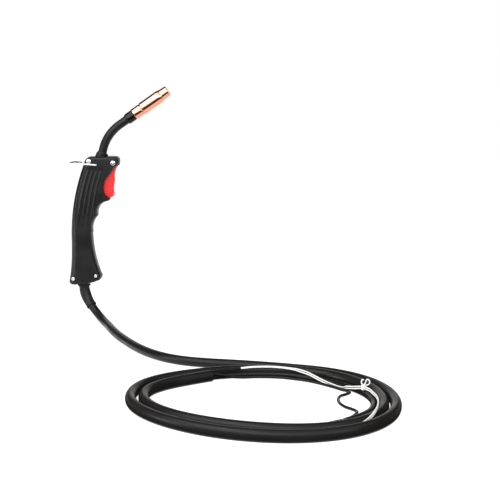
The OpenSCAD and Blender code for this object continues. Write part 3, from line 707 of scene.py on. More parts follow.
# The flat lead's roll in degrees, and each wire's share of the lead's section
FLAT_ROLL = 80
WIRE_SLIM, WIRE_SHARE, WIRE_PLACE = 0.8, 0.4, 0.6
lead_line = smooth_line(LEAD_POINTS, 1.2)
sheath_index, flat_index, upright_index = [
    int(np.argmin(np.linalg.norm(lead_line - LEAD_POINTS[k], axis=1)))
    for k in (SHEATH_END, FLAT_UNTIL, UPRIGHT_FROM)]
lead_roll = np.interp(np.arange(len(lead_line)), [flat_index, upright_index],
                      [FLAT_ROLL, 0])
sheath = swept("sheath", lead_line[:sheath_index + 1], SHEATH_HALF_W, SHEATH_HALF_H, cable_rubber,
               section=oval(24), roll=FLAT_ROLL, floor=FLOOR_Z)
wires = [swept("wire", lead_line, LEAD_HALF_W * WIRE_SLIM, LEAD_HALF_H, white_pvc,
               section=oval(16) * [1, WIRE_SHARE] + [0, side * WIRE_PLACE],
               roll=lead_roll, floor=FLOOR_Z) for side in (1, -1)]
twin_lead = joined("twin_lead", wires + [sheath])
stands_for(twin_lead, "trigger_lead")
print("the twin lead is", round(distances(lead_line)[-1]), "mm long")

# %% [markdown]
# ## Geometry Nodes: a tube along a path
#
# A bent wire, such as the hook, is a path with a round section. Each wire could
# be a curve object with its own bevel, but a tree can be used again. The object
# that carries it has only points and edges, the path. The tree turns it into a
# curve, sweeps a circle along it and gives it its finish. The wire's radius and
# the number of sides are named inputs, so one tree serves every wire.

# %% Build a tree, and run it on an object
def new_tree(name, inputs):
    """A Geometry Nodes tree with named inputs; returns it and its input node."""
    tree = bpy.data.node_groups.new(name, "GeometryNodeTree")
    sockets = {"Geometry": ("Geometry", None), **inputs}
    for label, (kind, value) in sockets.items():
        made = tree.interface.new_socket(label, in_out="INPUT", socket_type="NodeSocket" + kind)
        if value is not None:
            made.default_value = value
    tree.interface.new_socket("Geometry", in_out="OUTPUT", socket_type="NodeSocketGeometry")
    return tree, add(tree, "NodeGroupInput")


def end_tree(tree, given, geometry):
    """Every tree ends in the same way: real geometry, smooth shading and a finish."""
    real = add(tree, "GeometryNodeRealizeInstances", {"Geometry": geometry})
    soft = add(tree, "GeometryNodeSetShadeSmooth", {"Geometry": real.outputs["Geometry"]})
    done = add(tree, "GeometryNodeSetMaterial", {"Geometry": soft.outputs["Geometry"],
                                                 "Material": given.outputs["Material"]})
    add(tree, "NodeGroupOutput", {"Geometry": done.outputs["Geometry"]})


def grown(name, source, tree, inputs, place=None, sharp_degrees=35):
    """Runs a tree on a source object and returns the result as a plain mesh piece."""
    modifier = source.modifiers.new("tree", "NODES")
    modifier.node_group = tree
    for item in tree.interface.items_tree:
        if item.in_out == "INPUT" and item.name in inputs:
            modifier[item.identifier] = inputs[item.name]
    mesh = evaluated_mesh(source)
    bpy.data.objects.remove(source)
    if place is not None:
        mesh.transform(place)
    return tidy_mesh(linked(name, mesh), sharp_degrees)


def path_object(points_mm, closed=False):
    """An object that has only points and the edges between them."""
    mesh = bpy.data.meshes.new("path")
    count = len(points_mm)
    edges = [(i, i + 1) for i in range(count - 1)] + ([(count - 1, 0)] if closed else [])
    mesh.from_pydata(in_metres(points_mm), edges, [])
    return linked("path", mesh)


# %% The wire tree
wire_tree, given = new_tree("tube_along_a_path", {
    "Wire radius": ("Float", 0.001), "Sides": ("Int", 20), "Material": ("Material", None)})
path_curve = add(wire_tree, "GeometryNodeMeshToCurve", {"Mesh": given.outputs["Geometry"]})
round_section = add(wire_tree, "GeometryNodeCurvePrimitiveCircle", {
    "Resolution": given.outputs["Sides"], "Radius": given.outputs["Wire radius"]})
tube = add(wire_tree, "GeometryNodeCurveToMesh", {
    "Curve": path_curve.outputs["Curve"], "Profile Curve": round_section.outputs["Curve"],
    "Fill Caps": True})
end_tree(wire_tree, given, tube.outputs["Mesh"])


def wire(name, points_mm, radius_mm, sides, material):
    """A bent wire through points."""
    return grown(name, path_object(points_mm), wire_tree, {
        "Wire radius": radius_mm * 0.001, "Sides": sides, "Material": material},
        sharp_degrees=50)


# %% [markdown]
# ### The hook, the tie and the spring
#
# The hanging hook is one wire: its two feet turn in the handle's sides and its
# far end is half a circle, so straight legs, eased corners and an arc are
# enough. The tie is a small band round the lead with a loop and an ear of stiff
# wire, whose points are listed. The spring is a helix, and a formula
# gives its points better than a Screw modifier, because its ends are then known.

# %% The hanging hook
HOOK_PIVOT = (20.9, 81)
HOOK_HALF, HOOK_REACH, HOOK_LEG_IN, HOOK_WIRE_R, HOOK_EASE = 17, 19, 5, 1.2, 2.2
HOOK_SLOPE = radians(4)
half_turn = [(-HOOK_REACH - HOOK_HALF * sin(radians(t)), -HOOK_HALF * cos(radians(t)), 0)
             for t in range(0, 181, 5)]
flat_path = eased([(0, -HOOK_HALF + HOOK_LEG_IN, 0), (0, -HOOK_HALF, 0)] + half_turn
                  + [(0, HOOK_HALF, 0), (0, HOOK_HALF - HOOK_LEG_IN, 0)], HOOK_EASE, 6,
                  closed=False)
hook = wire("hanging_wire", [
    (HOOK_PIVOT[0] + x * cos(HOOK_SLOPE), y, HOOK_PIVOT[1] - x * sin(HOOK_SLOPE))
    for x, y, z in flat_path], HOOK_WIRE_R, 24, zinc)
stands_for(hook, "hanging_hook")

# %% The tie round the lead
TIE_WIRE_R, TIE_WALL = 0.7, 0.6
tie_here = np.array(LEAD_POINTS[TIE_AT])
tie_way = unit((np.array(LEAD_POINTS[TIE_AT + 1]) - LEAD_POINTS[TIE_AT - 1]) * [1, 1, 0])
# The band leaves room round the lead, and the loop and the ear start 1.6 mm above tie_lift
BAND_GAP_W, BAND_GAP_H = 0.2, 0.5
tie_lift = tie_here + [0, 0, LEAD_HALF_H + BAND_GAP_H - 1.6]
TIE_LOOP = [(0.6, -0.5, 1.6), (2.6, -0.4, 1.8), (4.6, -0.3, 2), (6.2, -0.2, 3.4), (6.6, 0, 5.4),
            (5.6, 0.2, 7.2), (3.9, 0.4, 7.4), (2.8, 0.5, 6), (2.2, 0.6, 4), (0.9, 0.7, 2.1)]
TIE_EAR = [(-0.2, 0, 1.8), (-1.4, 0, 3.4), (-1.7, 0.1, 5.6), (-1, 0.2, 7.2), (0.3, 0.3, 7.2)]
boxy_section = np.sign(oval(24)) * np.abs(oval(24)) ** 0.4
band_wall = TIE_WALL * np.array([0.6, 1, 1, 1, 0.6])
band = swept("band", [tie_here + t * tie_way for t in (-1.4, -1.15, 0, 1.15, 1.4)],
             LEAD_HALF_W + BAND_GAP_W + band_wall, LEAD_HALF_H + BAND_GAP_H + band_wall,
             white_pvc, section=boxy_section)
tie = joined("tie", [band] + [
    wire("tie_part", smooth_line([tie_lift + p for p in points], 0.35), TIE_WIRE_R, 14, white_pvc)
    for points in (TIE_LOOP, TIE_EAR)])
stands_for(tie, "lead_tie")

# %% The trigger's spring
SPRING_FROM, SPRING_TO, SPRING_Z, SPRING_R, SPRING_TURNS = 23.7, 37.85, 47, 2.2, 5
SPRING_WIRE_R = 0.35
spring = wire("spring", [
    (SPRING_FROM + (SPRING_TO - SPRING_FROM) * t, SPRING_R * cos(2 * pi * SPRING_TURNS * t),
     SPRING_Z + SPRING_R * sin(2 * pi * SPRING_TURNS * t)) for t in np.linspace(0, 1, 121)],
    SPRING_WIRE_R, 10, spring_steel)
stands_for(spring, "trigger_spring")

# %% [markdown]
# ## Geometry Nodes: a lathe
#
# The nozzle, the tip, the collar and the screws are turned: each is a profile
# spun round an axis. The Screw modifier and the Spin tool can do this, and so
# can Curve to Mesh, which works inside a tree. Its path is a tiny circle and its
# section is the profile, so the profile goes once round the axis. The number of
# facets round the piece is a named input.

# %% The lathe tree
AXIS_CIRCLE = 1e-6
lathe_tree, given = new_tree("lathe", {
    "Facets": ("Int", 96), "Axis circle": ("Float", AXIS_CIRCLE), "Material": ("Material", None)})
profile_curve = add(lathe_tree, "GeometryNodeMeshToCurve", {"Mesh": given.outputs["Geometry"]})
round_path = add(lathe_tree, "GeometryNodeCurvePrimitiveCircle", {
    "Resolution": given.outputs["Facets"], "Radius": given.outputs["Axis circle"]})
upright = add(lathe_tree, "GeometryNodeSetCurveNormal", {"Curve": round_path.outputs["Curve"]},
              mode="Z_UP")
spun = add(lathe_tree, "GeometryNodeCurveToMesh", {
    "Curve": upright.outputs["Curve"], "Profile Curve": profile_curve.outputs["Curve"]})
end_tree(lathe_tree, given, spun.outputs["Mesh"])


def turned(name, profile, place, material, ease_mm=0.3, facets=96, closed=True):
    """A turned piece; profile gives radius and height along its axis, in millimetres."""
    rows = eased(profile, ease_mm, 4, closed)
    return grown(name, path_object([(r, -h, 0) for r, h in rows], closed), lathe_tree,
                 {"Facets": facets, "Axis circle": AXIS_CIRCLE, "Material": material},
                 place=place, sharp_degrees=38)


nozzle_place = (Matrix.Translation(mm(*collar_base))
                @ Matrix.Rotation(radians(90 - TIP_ANGLE), 4, "Y"))

# %% [markdown]
# ### The front end
#
# The nozzle slips over a black collar. It has a ring at its foot, a groove, a
# long straight body and a stepped mouth. The tip inside stops a few millimetres
# short of the mouth, and gas comes out of the four holes of the brass head
# behind it. A lathe suits all of them: each profile is a list of radius and
# height, as on a turner's drawing.

# %% Turn the front end
BORE, MOUTH_R, NOZZLE_END = 5.95, 5.5, 66.7
nozzle = turned("gas_nozzle", [
    (BORE, 12.25), (7.2, 12.25), (7.7, 12.8), (7.7, 23.7), (7.3, 24.2), (7.3, 25), (8.3, 25.7),
    (8.3, 51.7), (7.9, 54.9), (7.3, 55.8), (6.8, 66.1), (6.4, NOZZLE_END),
    (MOUTH_R, NOZZLE_END), (MOUTH_R, 53.7), (BORE, 51.7)], nozzle_place, copper, 0.35, 128)
stands_for(nozzle, "nozzle")
tip = turned("tip", [(0.5, 30), (3, 30), (3, 56.5), (2.2, 62.1), (1.8, 62.5), (0.5, 62.5)],
             nozzle_place, turned_copper, 0.3, 64)
stands_for(tip, "contact_tip")
collar = turned("collar", [
    (4.55, 0), (5.9, 0), (6.3, 0.5), (7.2, 2.2), (7.2, 12.2), (5.9, 12.2), (5.9, 28), (4.6, 28),
    (4.6, 13.8), (4.55, 13.8)], nozzle_place, phenolic, 0.45, 96)
stands_for(collar, "nozzle_insulator")
head = turned("gas_head", [(1.3, 14), (4.5, 14), (4.5, 33), (3.8, 37), (3, 37), (3, 30),
                           (1.3, 30)], nozzle_place, brass, 0.3, 64)
hole_place = collar_base + 28.6 * nozzle_way
across = np.cross(nozzle_way, [0, 1, 0])
head = carved(head, [rod("drill", hole_place - 7 * way, hole_place + 7 * way, 0.8, brass, 24)
                     for way in (across, np.array([0, 1.0, 0]))])
stands_for(head, "gas_diffuser")
ferrule_place = (Matrix.Translation(mm(*gas_line[-1]))
                 @ Vector(end_way(gas_line)).to_track_quat("Z", "Y").to_matrix().to_4x4())
ferrule = turned("ferrule", [(0.8, 0), (1.55, 0), (1.55, 2.6), (1.3, 3), (1.55, 5.2), (1.3, 5.6),
                             (1.55, 7.8), (1.3, 8.2), (1.4, 12), (0.8, 12)], ferrule_place, brass,
                 0.2, 32)
stands_for(ferrule, "gas_ferrule")

# %% [markdown]
# ### The neck
#
# The neck is a copper tube in a black shrunk sleeve. It stands in a small
# flange on the handle's head, with a cone from the flange up to the neck. The
# flange can't be turned on the lathe, because the cone leans with the neck while
# the flange lies flat. Rings give it: level ones below, and square to the neck
# above.

# %% The sleeve and its flange
NECK_R = 5.6
neck_line = ([NECK_FOOT - 9 * foot_way, NECK_FOOT, NECK_FOOT + 6 * foot_way]
             + [arc_centre + NECK_BEND_R * heading(a + 90)
                for a in np.linspace(FOOT_ANGLE, TIP_ANGLE, 41)]
             + [arc_end + 6 * nozzle_way, collar_base - 0.02 * nozzle_way])
sleeve = swept("neck_cover", neck_line, NECK_R, NECK_R, shrink_sleeve, section=oval(48))
stands_for(sleeve, "neck_sleeve")

FLANGE_R, FLANGE_LOW, FLANGE_TOP = 8.3, 91.5, 94.1
turns48 = [2 * pi * k / 48 for k in range(48)]
foot_side = np.cross([0, 1, 0], foot_way)


def flange_ring(radius, z=None, up=None):
    """A level ring at height z, or a ring square to the neck that far up from its foot."""
    if z is None:
        middle, side = NECK_FOOT + up * foot_way, foot_side
    else:
        middle, side = NECK_FOOT + (z - NECK_FOOT[2]) / foot_way[2] * foot_way, np.array([1, 0, 0])
    return [middle + radius * (cos(t) * side + sin(t) * np.array([0, 1, 0])) for t in turns48]


flange = skin("neck_flange", [
    flange_ring(7, up=-9), flange_ring(7, z=91.45), flange_ring(FLANGE_R, z=FLANGE_LOW),
    flange_ring(FLANGE_R, z=FLANGE_TOP - 0.4), flange_ring(FLANGE_R - 0.4, z=FLANGE_TOP),
    flange_ring(7.4, up=4.9), flange_ring(6.7, up=5.5), flange_ring(6.25, up=6.4),
    flange_ring(5.95, up=7.6), flange_ring(NECK_R + 0.02, up=7.9),
    flange_ring(NECK_R + 0.02, up=-9),
], nylon, loop=True)
stands_for(flange, "neck_socket")

# %% [markdown]
# ## The handle
#
# Each half of the handle is a moulded shell. Its side bulges, has long flutes
# for the fingers and rounds off to the front and the back. It could be sculpted
# or made with a subdivision surface, but its sizes would then be guesswork. Here
# all of it follows from a few formulas: the back and the front edge at each
# height, and how far the side stands out between them. Rows of points at each
# height make the skin, much finer than the CAD solid's.
#
# Where the halves meet, each has a small bevel, so that the joint shows as a
# thin line all round.

# %% The handle's outline at each height
HANDLE_TOP, GRIP_FLOOR = 91.5, -78
WAIST_HALF, HEAD_HALF = 13.6, 15
BACK_X, BACK_ARC_R = -15.5, 253
PIVOT = (42.2, 83.4)
FOOT_SCREW = (16.9, -66.1)


def corner_in(r, past):
    """How far a rounded corner of radius r has drawn in, past along it."""
    return r - sqrt(max(0, r * r - past * past))


def back_edge(z):
    """X of the back at height z."""
    line = (BACK_X + (z + 14) ** 2 / (2 * BACK_ARC_R) if z > -14
            else BACK_X - 4 * ((-14 - z) / 60) ** 3)
    if z > HANDLE_TOP - 5.5:
        line += corner_in(5.5, z - HANDLE_TOP + 5.5)
    return line + (corner_in(4, GRIP_FLOOR + 4 - z) if z < GRIP_FLOOR + 4 else 0)


def hollow(x, z0, r, z):
    """X at height z on the back of a circle round x and z0: a scallop."""
    return x - sqrt(max(0, r * r - (z - z0) ** 2))


def bulge(x, z0, r, z):
    """X at height z on the front of a circle round x and z0: a lobe."""
    return x + sqrt(max(0, r * r - (z - z0) ** 2))


def front_edge(z):
    """X of the front at height z: foot lobe, grip, two scallops, horn, notch and head."""
    if z < -77:
        return -8.4
    if z < -74:
        return float(np.interp(z, [-77, -74], [8, 13]))
    if z < -66:
        return bulge(*FOOT_SCREW, 7.7, max(z, -73.6)) - (2 if z < -73 else 0)
    if z < -8:
        return 12.8 + (-8 - z) ** 2 / 300
    if z < 13.7:
        return hollow(38, -4, 25, z)
    if z < 33.6:
        return hollow(37.4, 16.5, 17.2, z)
    if z <= 37.6:
        return 36.8 - corner_in(2.2, abs(z - 35.6))
    if z < 62:
        return hollow(53, 50.5, 24, z)
    if z < 79.2:
        return 31.9 + 0.8 * (z - 62)
    if z < 84:
        return bulge(PIVOT[0], 84, 7.7, z)
    return 49.9 - (corner_in(5, z - HANDLE_TOP + 5) if z > HANDLE_TOP - 5 else 0)


# %% How far the side stands out
FLUTE_PITCH, FLUTE_DEPTH, FLUTE_FIRST, FLUTE_REGION = 5.8, 0.95, 4.4, 29


def half_thickness(z):
    """Half of the handle's thickness at height z, with its top and bottom rounded."""
    past = 3 - min(3, HANDLE_TOP - z, z - GRIP_FLOOR)
    return float(np.interp(z, [GRIP_FLOOR, -30, 0, 45, HANDLE_TOP],
                           [WAIST_HALF + 0.6, WAIST_HALF, WAIST_HALF, HEAD_HALF, HEAD_HALF])
                 ) - (3 - sqrt(9 - past * past))


def side_y(z, d, width):
    """How far the side stands out at height z, d in front of the back."""
    front_round = 1.6 if 37.6 < z < 79.2 else 4.6
    b, f = min(1, d / 9.5), min(1, (width - d) / front_round)
    crown = sqrt(1 - (1 - b) ** 2) * (1 - (1 - f) ** 2.6) ** (1 / 2.6)
    flute = (abs(sin(pi * (d - FLUTE_FIRST) / FLUTE_PITCH))
             if FLUTE_FIRST <= d <= FLUTE_REGION else 0)
    fade = ramp((77 - z) / 3) * ramp((z + 20) / 45)
    return crown * (half_thickness(z) - FLUTE_DEPTH * fade * flute)


# Where each row has its points: in mm from the back, and then as shares of what is left
BACK_COLUMNS = [0.03, 0.12, 0.35, 0.7, 1.2, 1.9, 2.6, 3.5]
FLUTE_COLUMNS = list(np.arange(4.4, 29.1, 0.3625))
FRONT_COLUMNS = [0.12, 0.25, 0.37, 0.5, 0.6, 0.7, 0.76, 0.82, 0.87, 0.91, 0.94, 0.97, 0.985, 0.996]
BEVEL = 0.35


def handle_row(z):
    """The near half's ring of points at height z, from the back round the side to the front."""
    left = back_edge(z)
    width = front_edge(z) - left
    squeeze = min(1, (width - 6) / FLUTE_REGION)
    fluted = [d * squeeze for d in BACK_COLUMNS + FLUTE_COLUMNS]
    rest = width - fluted[-1]
    side = [(left + d, -max(BEVEL, side_y(z, d, width)), z)
            for d in fluted + [width - rest * (1 - s) for s in FRONT_COLUMNS]]
    return ([(left + BEVEL, 0, z), (left, -BEVEL, z)] + side
            + [(left + width, -BEVEL, z), (left + width - BEVEL, 0, z)])


# %% [markdown]
# ### Cutting the handle's hollows
#
# The skin is a solid block at first. An inner skin could be drawn by hand, but
# Booleans cut what a mould's cores leave open with less work: the hollow grip,
# the pocket that the trigger moves in, the screw holes with their recesses, the
# neck's socket and the hook's holes.

# %% The handle's rows
# Heights where the outline changes, with even rows between them
KEY_ROWS = [
    -78, -77.6, -77.01, -76.9, -75.4, -74, -73.5, -72, -69.5, -66.01, -61, -55, -48, -40, -32,
    -24, -16, -8, -1, 5, 9.5, 12.5, 13.69, 16, 20, 24, 28, 31, 33.59, 33.7, 34.4, 35.6, 36.8,
    37.4, 37.7, 41, 46, 51, 56, 62, 66, 70, 74, 76, 77.5, 79.1, 79.21, 81, 84, 87, 88.5, 89.2,
    89.9, 90.4, 90.8, 91.1, 91.35, 91.5]
rows = [KEY_ROWS[0]]
for low, high in zip(KEY_ROWS, KEY_ROWS[1:]):
    parts = max(1, round((high - low) / 1.1))
    rows += [low + (high - low) * (k + 1) / parts for k in range(parts)]
print("each half has", len(rows), "rows of", len(handle_row(0)), "points")

# %% What is cut out of the halves
GRIP_HOLLOW = [
    (-13, -62), (-11.6, -48), (-11.4, -20), (-10.4, 0), (-8, 25), (-4.6, 45), (0, 62), (4.5, 78),
    (29, 78), (25, 66), (25, 36), (21, 34), (18, 28), (15, 18), (12, 6), (9, -6), (9.4, -25),
    (12.5, -45), (14, -54), (9, -62)]
TRIGGER_POCKET = [
    (21.4, 44), (21.8, 60), (23, 68.5), (29, 71), (33, 76), (36, 84), (37, 88), (41, 90.2),
    (46, 88.6), (48.6, 84), (51, 79), (52, 37.9), (31.5, 37.9), (25, 39.5)]
SPRING_SEAT = [(20.5, 43.6), (23.3, 43.6), (23.3, 50.4), (22, 50.4)]
SWITCH_RIB = [(21.9, 53.6), (24.1, 53.6), (24.1, 66.4), (21.9, 66.4)]
GRIP_DEPTH, POCKET_HALF, SWITCH_RIB_FROM = 10.6, 8.7, 4.9
SOCKET_HOLE_R, BOOT_HOLE_R = 7.05, 6.65
# Two screws in the head and two in the foot: their places, seats and recesses
SCREWS = [(10.6, 85.6), PIVOT, (-12.7, -69.9), FOOT_SCREW]
HEAD_SEAT_Y, FOOT_SEAT_Y = -14, -11.6
SEAT_Y = [HEAD_SEAT_Y, HEAD_SEAT_Y, FOOT_SEAT_Y, FOOT_SEAT_Y]
RECESS_R = [3.55, 3.55, 3.2, 3.2]
SHANK_R, NUT_Y, NUT_R = 1.75, 12.4, 3.6
print(len(SCREWS), "screws hold the halves together")

# %% The two halves
def drill(x, z, radius, y_from, y_to, sides=48):
    """A drill along Y."""
    return rod("drill", (x, y_from, z), (x, y_to, z), radius, nylon, sides)


def handle_half(name, side):
    """A half of the handle: side is 1 for the near one and -1 for the far one."""
    half = skin(name, [[(x, side * y, z) for x, y, z in handle_row(z)] for z in rows], nylon,
                sharp_degrees=30)
    grip = plate("core", GRIP_HOLLOW, side * 1, side * -GRIP_DEPTH, nylon)
    pocket = carved(plate("core", TRIGGER_POCKET, side * 1, side * -POCKET_HALF, nylon), [
        plate("rib", SPRING_SEAT, side * 2, side * -14, nylon),
        plate("rib", SWITCH_RIB, side * -SWITCH_RIB_FROM, side * -14, nylon)])
    tools = [grip, pocket,
             rod("drill", NECK_FOOT - 20 * foot_way, NECK_FOOT + 20 * foot_way, SOCKET_HOLE_R,
                 nylon),
             rod("drill", (0, 0, GRIP_FLOOR - 2), (0, 0, GRIP_FLOOR + 18), BOOT_HOLE_R, nylon),
             drill(*HOOK_PIVOT, HOOK_WIRE_R + 0.1, side * -11.8, side * -22, 32)]
    for (x, z), seat, recess in zip(SCREWS, SEAT_Y, RECESS_R):
        tools.append(drill(x, z, SHANK_R + 0.1, 2 * side, -20 * side))
        if side == 1:
            tools.append(drill(x, z, recess, seat, -22))
        else:
            tools.append(drill(x, z, NUT_R + 0.25, NUT_Y, 22))
    return carved(half, tools)


near_half = handle_half("handle_near", 1)
stands_for(near_half, "handle_shell_near")
far_half = handle_half("handle_far", -1)
stands_for(far_half, "handle_shell_far")
print("handle halves:", len(near_half.data.polygons), "and", len(far_half.data.polygons), "faces")

# %% [markdown]
# ## Geometry Nodes: a copy on each point
#
# Four screws hold the halves together. Four duplicates by hand would do, but a
# tree keeps them the same when one is changed. One screw is turned on the lathe
# and a cross is cut in its head. The tree then puts a copy on each point of a
# small object that has nothing but points. Nobody stops a screw at a chosen
# angle, so each copy is turned by a random amount, from a fixed seed.

# %% The tree of copies
copies_tree, given = new_tree("a_copy_on_each_point", {
    "Part": ("Object", None), "Largest turn": ("Float", 6.283), "Seed": ("Int", 3),
    "Material": ("Material", None)})
part_info = add(copies_tree, "GeometryNodeObjectInfo", {"Object": given.outputs["Part"]})
any_turn = add(copies_tree, "FunctionNodeRandomValue", {
    "Max": given.outputs["Largest turn"], "Seed": given.outputs["Seed"]}, data_type="FLOAT")
turn_vector = add(copies_tree, "ShaderNodeCombineXYZ", {"Y": any_turn.outputs[1]})
turned_copy = add(copies_tree, "FunctionNodeEulerToRotation", {
    "Euler": turn_vector.outputs["Vector"]})
copies = add(copies_tree, "GeometryNodeInstanceOnPoints", {
    "Points": given.outputs["Geometry"], "Instance": part_info.outputs["Geometry"],
    "Rotation": turned_copy.outputs["Rotation"]})
end_tree(copies_tree, given, copies.outputs["Instances"])


def copied(name, part, places, material, seed):
    """A copy of part at each place; part is then removed."""
    whole = grown(name, path_object(places), copies_tree, {
        "Part": part, "Largest turn": 2 * pi, "Seed": seed, "Material": material},
        sharp_degrees=35)
    bpy.data.objects.remove(part)
    return whole


# %% The screws
lie_along_y = Matrix.Rotation(radians(90), 4, "X")
SCREW_TIP_Y, HEAD_HEIGHT, CROSS_DEPTH = 14.6, 1.4, 0.85


def pan_screw(head_r, seat_y):
    """A screw along Y with its head's underside at Y 0 and a cross cut in its top."""
    h = HEAD_HEIGHT
    screw = turned("screw", [
        (0, h), (head_r * 0.45, h - 0.03), (head_r * 0.8, h - 0.22), (head_r * 0.97, h - 0.65),
        (head_r, 0.1), (head_r - 0.1, 0), (SHANK_R, 0), (SHANK_R, seat_y - SCREW_TIP_Y + 0.5),
        (SHANK_R - 0.5, seat_y - SCREW_TIP_Y), (0, seat_y - SCREW_TIP_Y)],
        lie_along_y, zinc, 0.25, 48, closed=False)
    reach, slot = head_r * 0.5, head_r * 0.08
    cross = [(slot, slot), (reach, slot), (reach, -slot), (slot, -slot), (slot, -reach),
             (-slot, -reach), (-slot, -slot), (-reach, -slot), (-reach, slot), (-slot, slot),
             (-slot, reach), (slot, reach)]
    return carved(screw, [plate("cross", cross, -h - 1, -h + CROSS_DEPTH, zinc)])


screws = joined("screws", [
    copied("head_screws", pan_screw(3.3, HEAD_SEAT_Y),
           [(x, HEAD_SEAT_Y, z) for x, z in SCREWS[:2]], zinc, 3),
    copied("foot_screws", pan_screw(2.5, FOOT_SEAT_Y),
           [(x, FOOT_SEAT_Y, z) for x, z in SCREWS[2:]], zinc, 8)])
stands_for(screws, "handle_screws")

# %% The nuts
def hexagon(radius, inset):
    """A nut's outline, drawn in by inset."""
    return [((radius - inset) * cos(radians(60 * k)), (radius - inset) * sin(radians(60 * k)))
            for k in range(6)]


nut = skin("nut", [[(x, y, z) for x, z in hexagon(NUT_R, inset)]
                   for y, inset in ((0, 0.25), (0.2, 0), (2.3, 0), (2.5, 0.25))], zinc)
nut = carved(nut, [rod("drill", (0, -1, 0), (0, 4, 0), SHANK_R + 0.05, zinc, 32)])
nuts = copied("nuts", nut, [(x, NUT_Y, z) for x, z in SCREWS], zinc, 5)
stands_for(nuts, "handle_nuts")

# %% [markdown]
# ## The trigger
#
# The trigger is a hollow moulding. A Bevel modifier can pinch on an outline with
# scallops like these, so its edges are rounded while it is made: the outline is
# eased all round, and the rings of points near each side draw in on a quarter
# circle. The inside, the pivot's bore and a small pad for the switch follow.

# %% Even spacing for an outline
def evenly(points, step_mm, rounds):
    """The closed outline with its points about step_mm apart, its corners softened."""
    closed = np.array(list(points) + [points[0]])
    at = distances(closed)
    spots = np.linspace(0, at[-1], round(at[-1] / step_mm), endpoint=False)
    out = np.stack([np.interp(spots, at, closed[:, k]) for k in (0, 1)], 1)
    for _ in range(rounds):
        out = (np.roll(out, 1, 0) + 2 * out + np.roll(out, -1, 0)) / 4
    return out


# %% Mould the trigger
TRIGGER_OUTLINE = [
    (47.7, 80.2), (45, 76.1), (43.6, 72.1), (42.5, 68.2), (42.3, 64.4), (42.8, 60.5),
    (42.2, 56.3), (41.2, 52.3), (41, 48.4), (41.4, 44.4), (41.8, 41), (41.2, 39.2), (39.6, 38.2),
    (34, 38.2), (30.4, 40.2), (28.6, 44), (27.8, 50), (27.9, 56), (29.2, 62), (32, 68), (35.4, 74),
    (37.2, 80), (37.2, 86.5), (39, 88.2), (43, 88.9), (45.8, 87.2)]
TRIGGER_INSIDE = [
    (20, 41), (37.6, 41), (38.6, 43), (38.2, 50), (39.4, 60), (39.2, 66), (39, 70), (35, 73),
    (20, 73)]
TRIGGER_HALF, CHEEK, TRIGGER_ROUND, PIVOT_BORE_R = 8.3, 2, 1.3, 2.55
SWITCH_PAD, PAD_HALF = [(30.7, 59), (40.5, 59), (40.5, 61), (30.7, 61)], 1.5
outline = evenly(eased(TRIGGER_OUTLINE, 9, 5), 0.7, 3)
slope = np.roll(outline, -1, axis=0) - np.roll(outline, 1, axis=0)
inward = np.stack([-slope[:, 1], slope[:, 0]], 1) / np.linalg.norm(slope, axis=1)[:, None]
if np.sum(np.cross(outline, np.roll(outline, -1, axis=0))) < 0:
    inward = -inward
quarter = [radians(t) for t in (0, 18, 36, 54, 72, 90)]
edge = [(TRIGGER_HALF - TRIGGER_ROUND + TRIGGER_ROUND * sin(t), TRIGGER_ROUND * (1 - cos(t)))
        for t in quarter]
layers = [(-y, inset) for y, inset in reversed(edge)] + edge
trigger = skin("red_trigger", [[(x, y, z) for x, z in outline + inward * inset]
                               for y, inset in layers], red_abs, sharp_degrees=40)
trigger = carved(trigger, [
    plate("core", TRIGGER_INSIDE, -TRIGGER_HALF + CHEEK, TRIGGER_HALF - CHEEK, red_abs),
    rod("drill", (PIVOT[0], -12, PIVOT[1]), (PIVOT[0], 12, PIVOT[1]), PIVOT_BORE_R, red_abs)])
pad = plate("pad", SWITCH_PAD, -PAD_HALF, PAD_HALF, red_abs)
trigger = carved(trigger, [pad], operation="UNION")
stands_for(trigger, "trigger")

# %% [markdown]
# ## Crimped ends
#
# A cable lug and a spade terminal are both a tube that is flattened at its far
# end, as a press does it. Two pieces joined would show a step. Rings along one
# piece, each with its own size and height, give the real form, and a drill makes
# the hole.

# %% Lug and terminals
def crimped(name, start, way, stations, hole, material):
    """A flattened tube; a station is distance, level and height offsets, half sizes, boxiness."""
    way = unit(way)
    level = np.cross(way, [0, 0, 1.0])
    rings = []
    for on, aside, lift, half_w, half_h, boxy in stations:
        section = np.sign(oval(32)) * np.abs(oval(32)) ** (2 / boxy)
        middle = np.array(start) + on * way + aside * level + [0, 0, lift]
        rings.append([middle + level * a * half_w + np.array([0, 0, b * half_h])
                      for a, b in section])
    piece = skin(name, rings, material, sharp_degrees=40)
    on, lift, radius, upright_hole = hole
    middle = np.array(start) + on * way + [0, 0, lift]
    bore = np.array([0, 0, 1.0]) if upright_hole else level
    return carved(piece, [
        rod("drill", middle - 4 * bore, middle + 4 * bore, radius, material, 32)])


PALM_LIFT, PALM_HALF_T = -2.25, 0.9
palm = [(22 + 5 * sin(radians(t)), 0, PALM_LIFT, max(0.3, 5 * cos(radians(t))), PALM_HALF_T, 9)
        for t in (0, 20, 38, 54, 68, 80, 88)]
lug = crimped("lug", power_line[-1], end_way(power_line), [
    (0, 0, 0, 3.25, 3.25, 2), (1.6, 0, 0, 3.25, 3.25, 2), (2.6, 0, 0, 3.2, 2.9, 2),
    (4, 0, 0, 3.2, 2.8, 2), (5, 0, 0, 3.25, 3.2, 2), (7, 0, 0, 3.25, 3.2, 2),
    (9, 0, -0.3, 3.5, 2.8, 2.4), (11, 0, -1.4, 4.4, 1.7, 4),
    (12.5, 0, PALM_LIFT, 4.9, PALM_HALF_T, 8)] + palm,
    (22, PALM_LIFT, 3.2, True), tin_plate)
stands_for(lug, "power_lug")

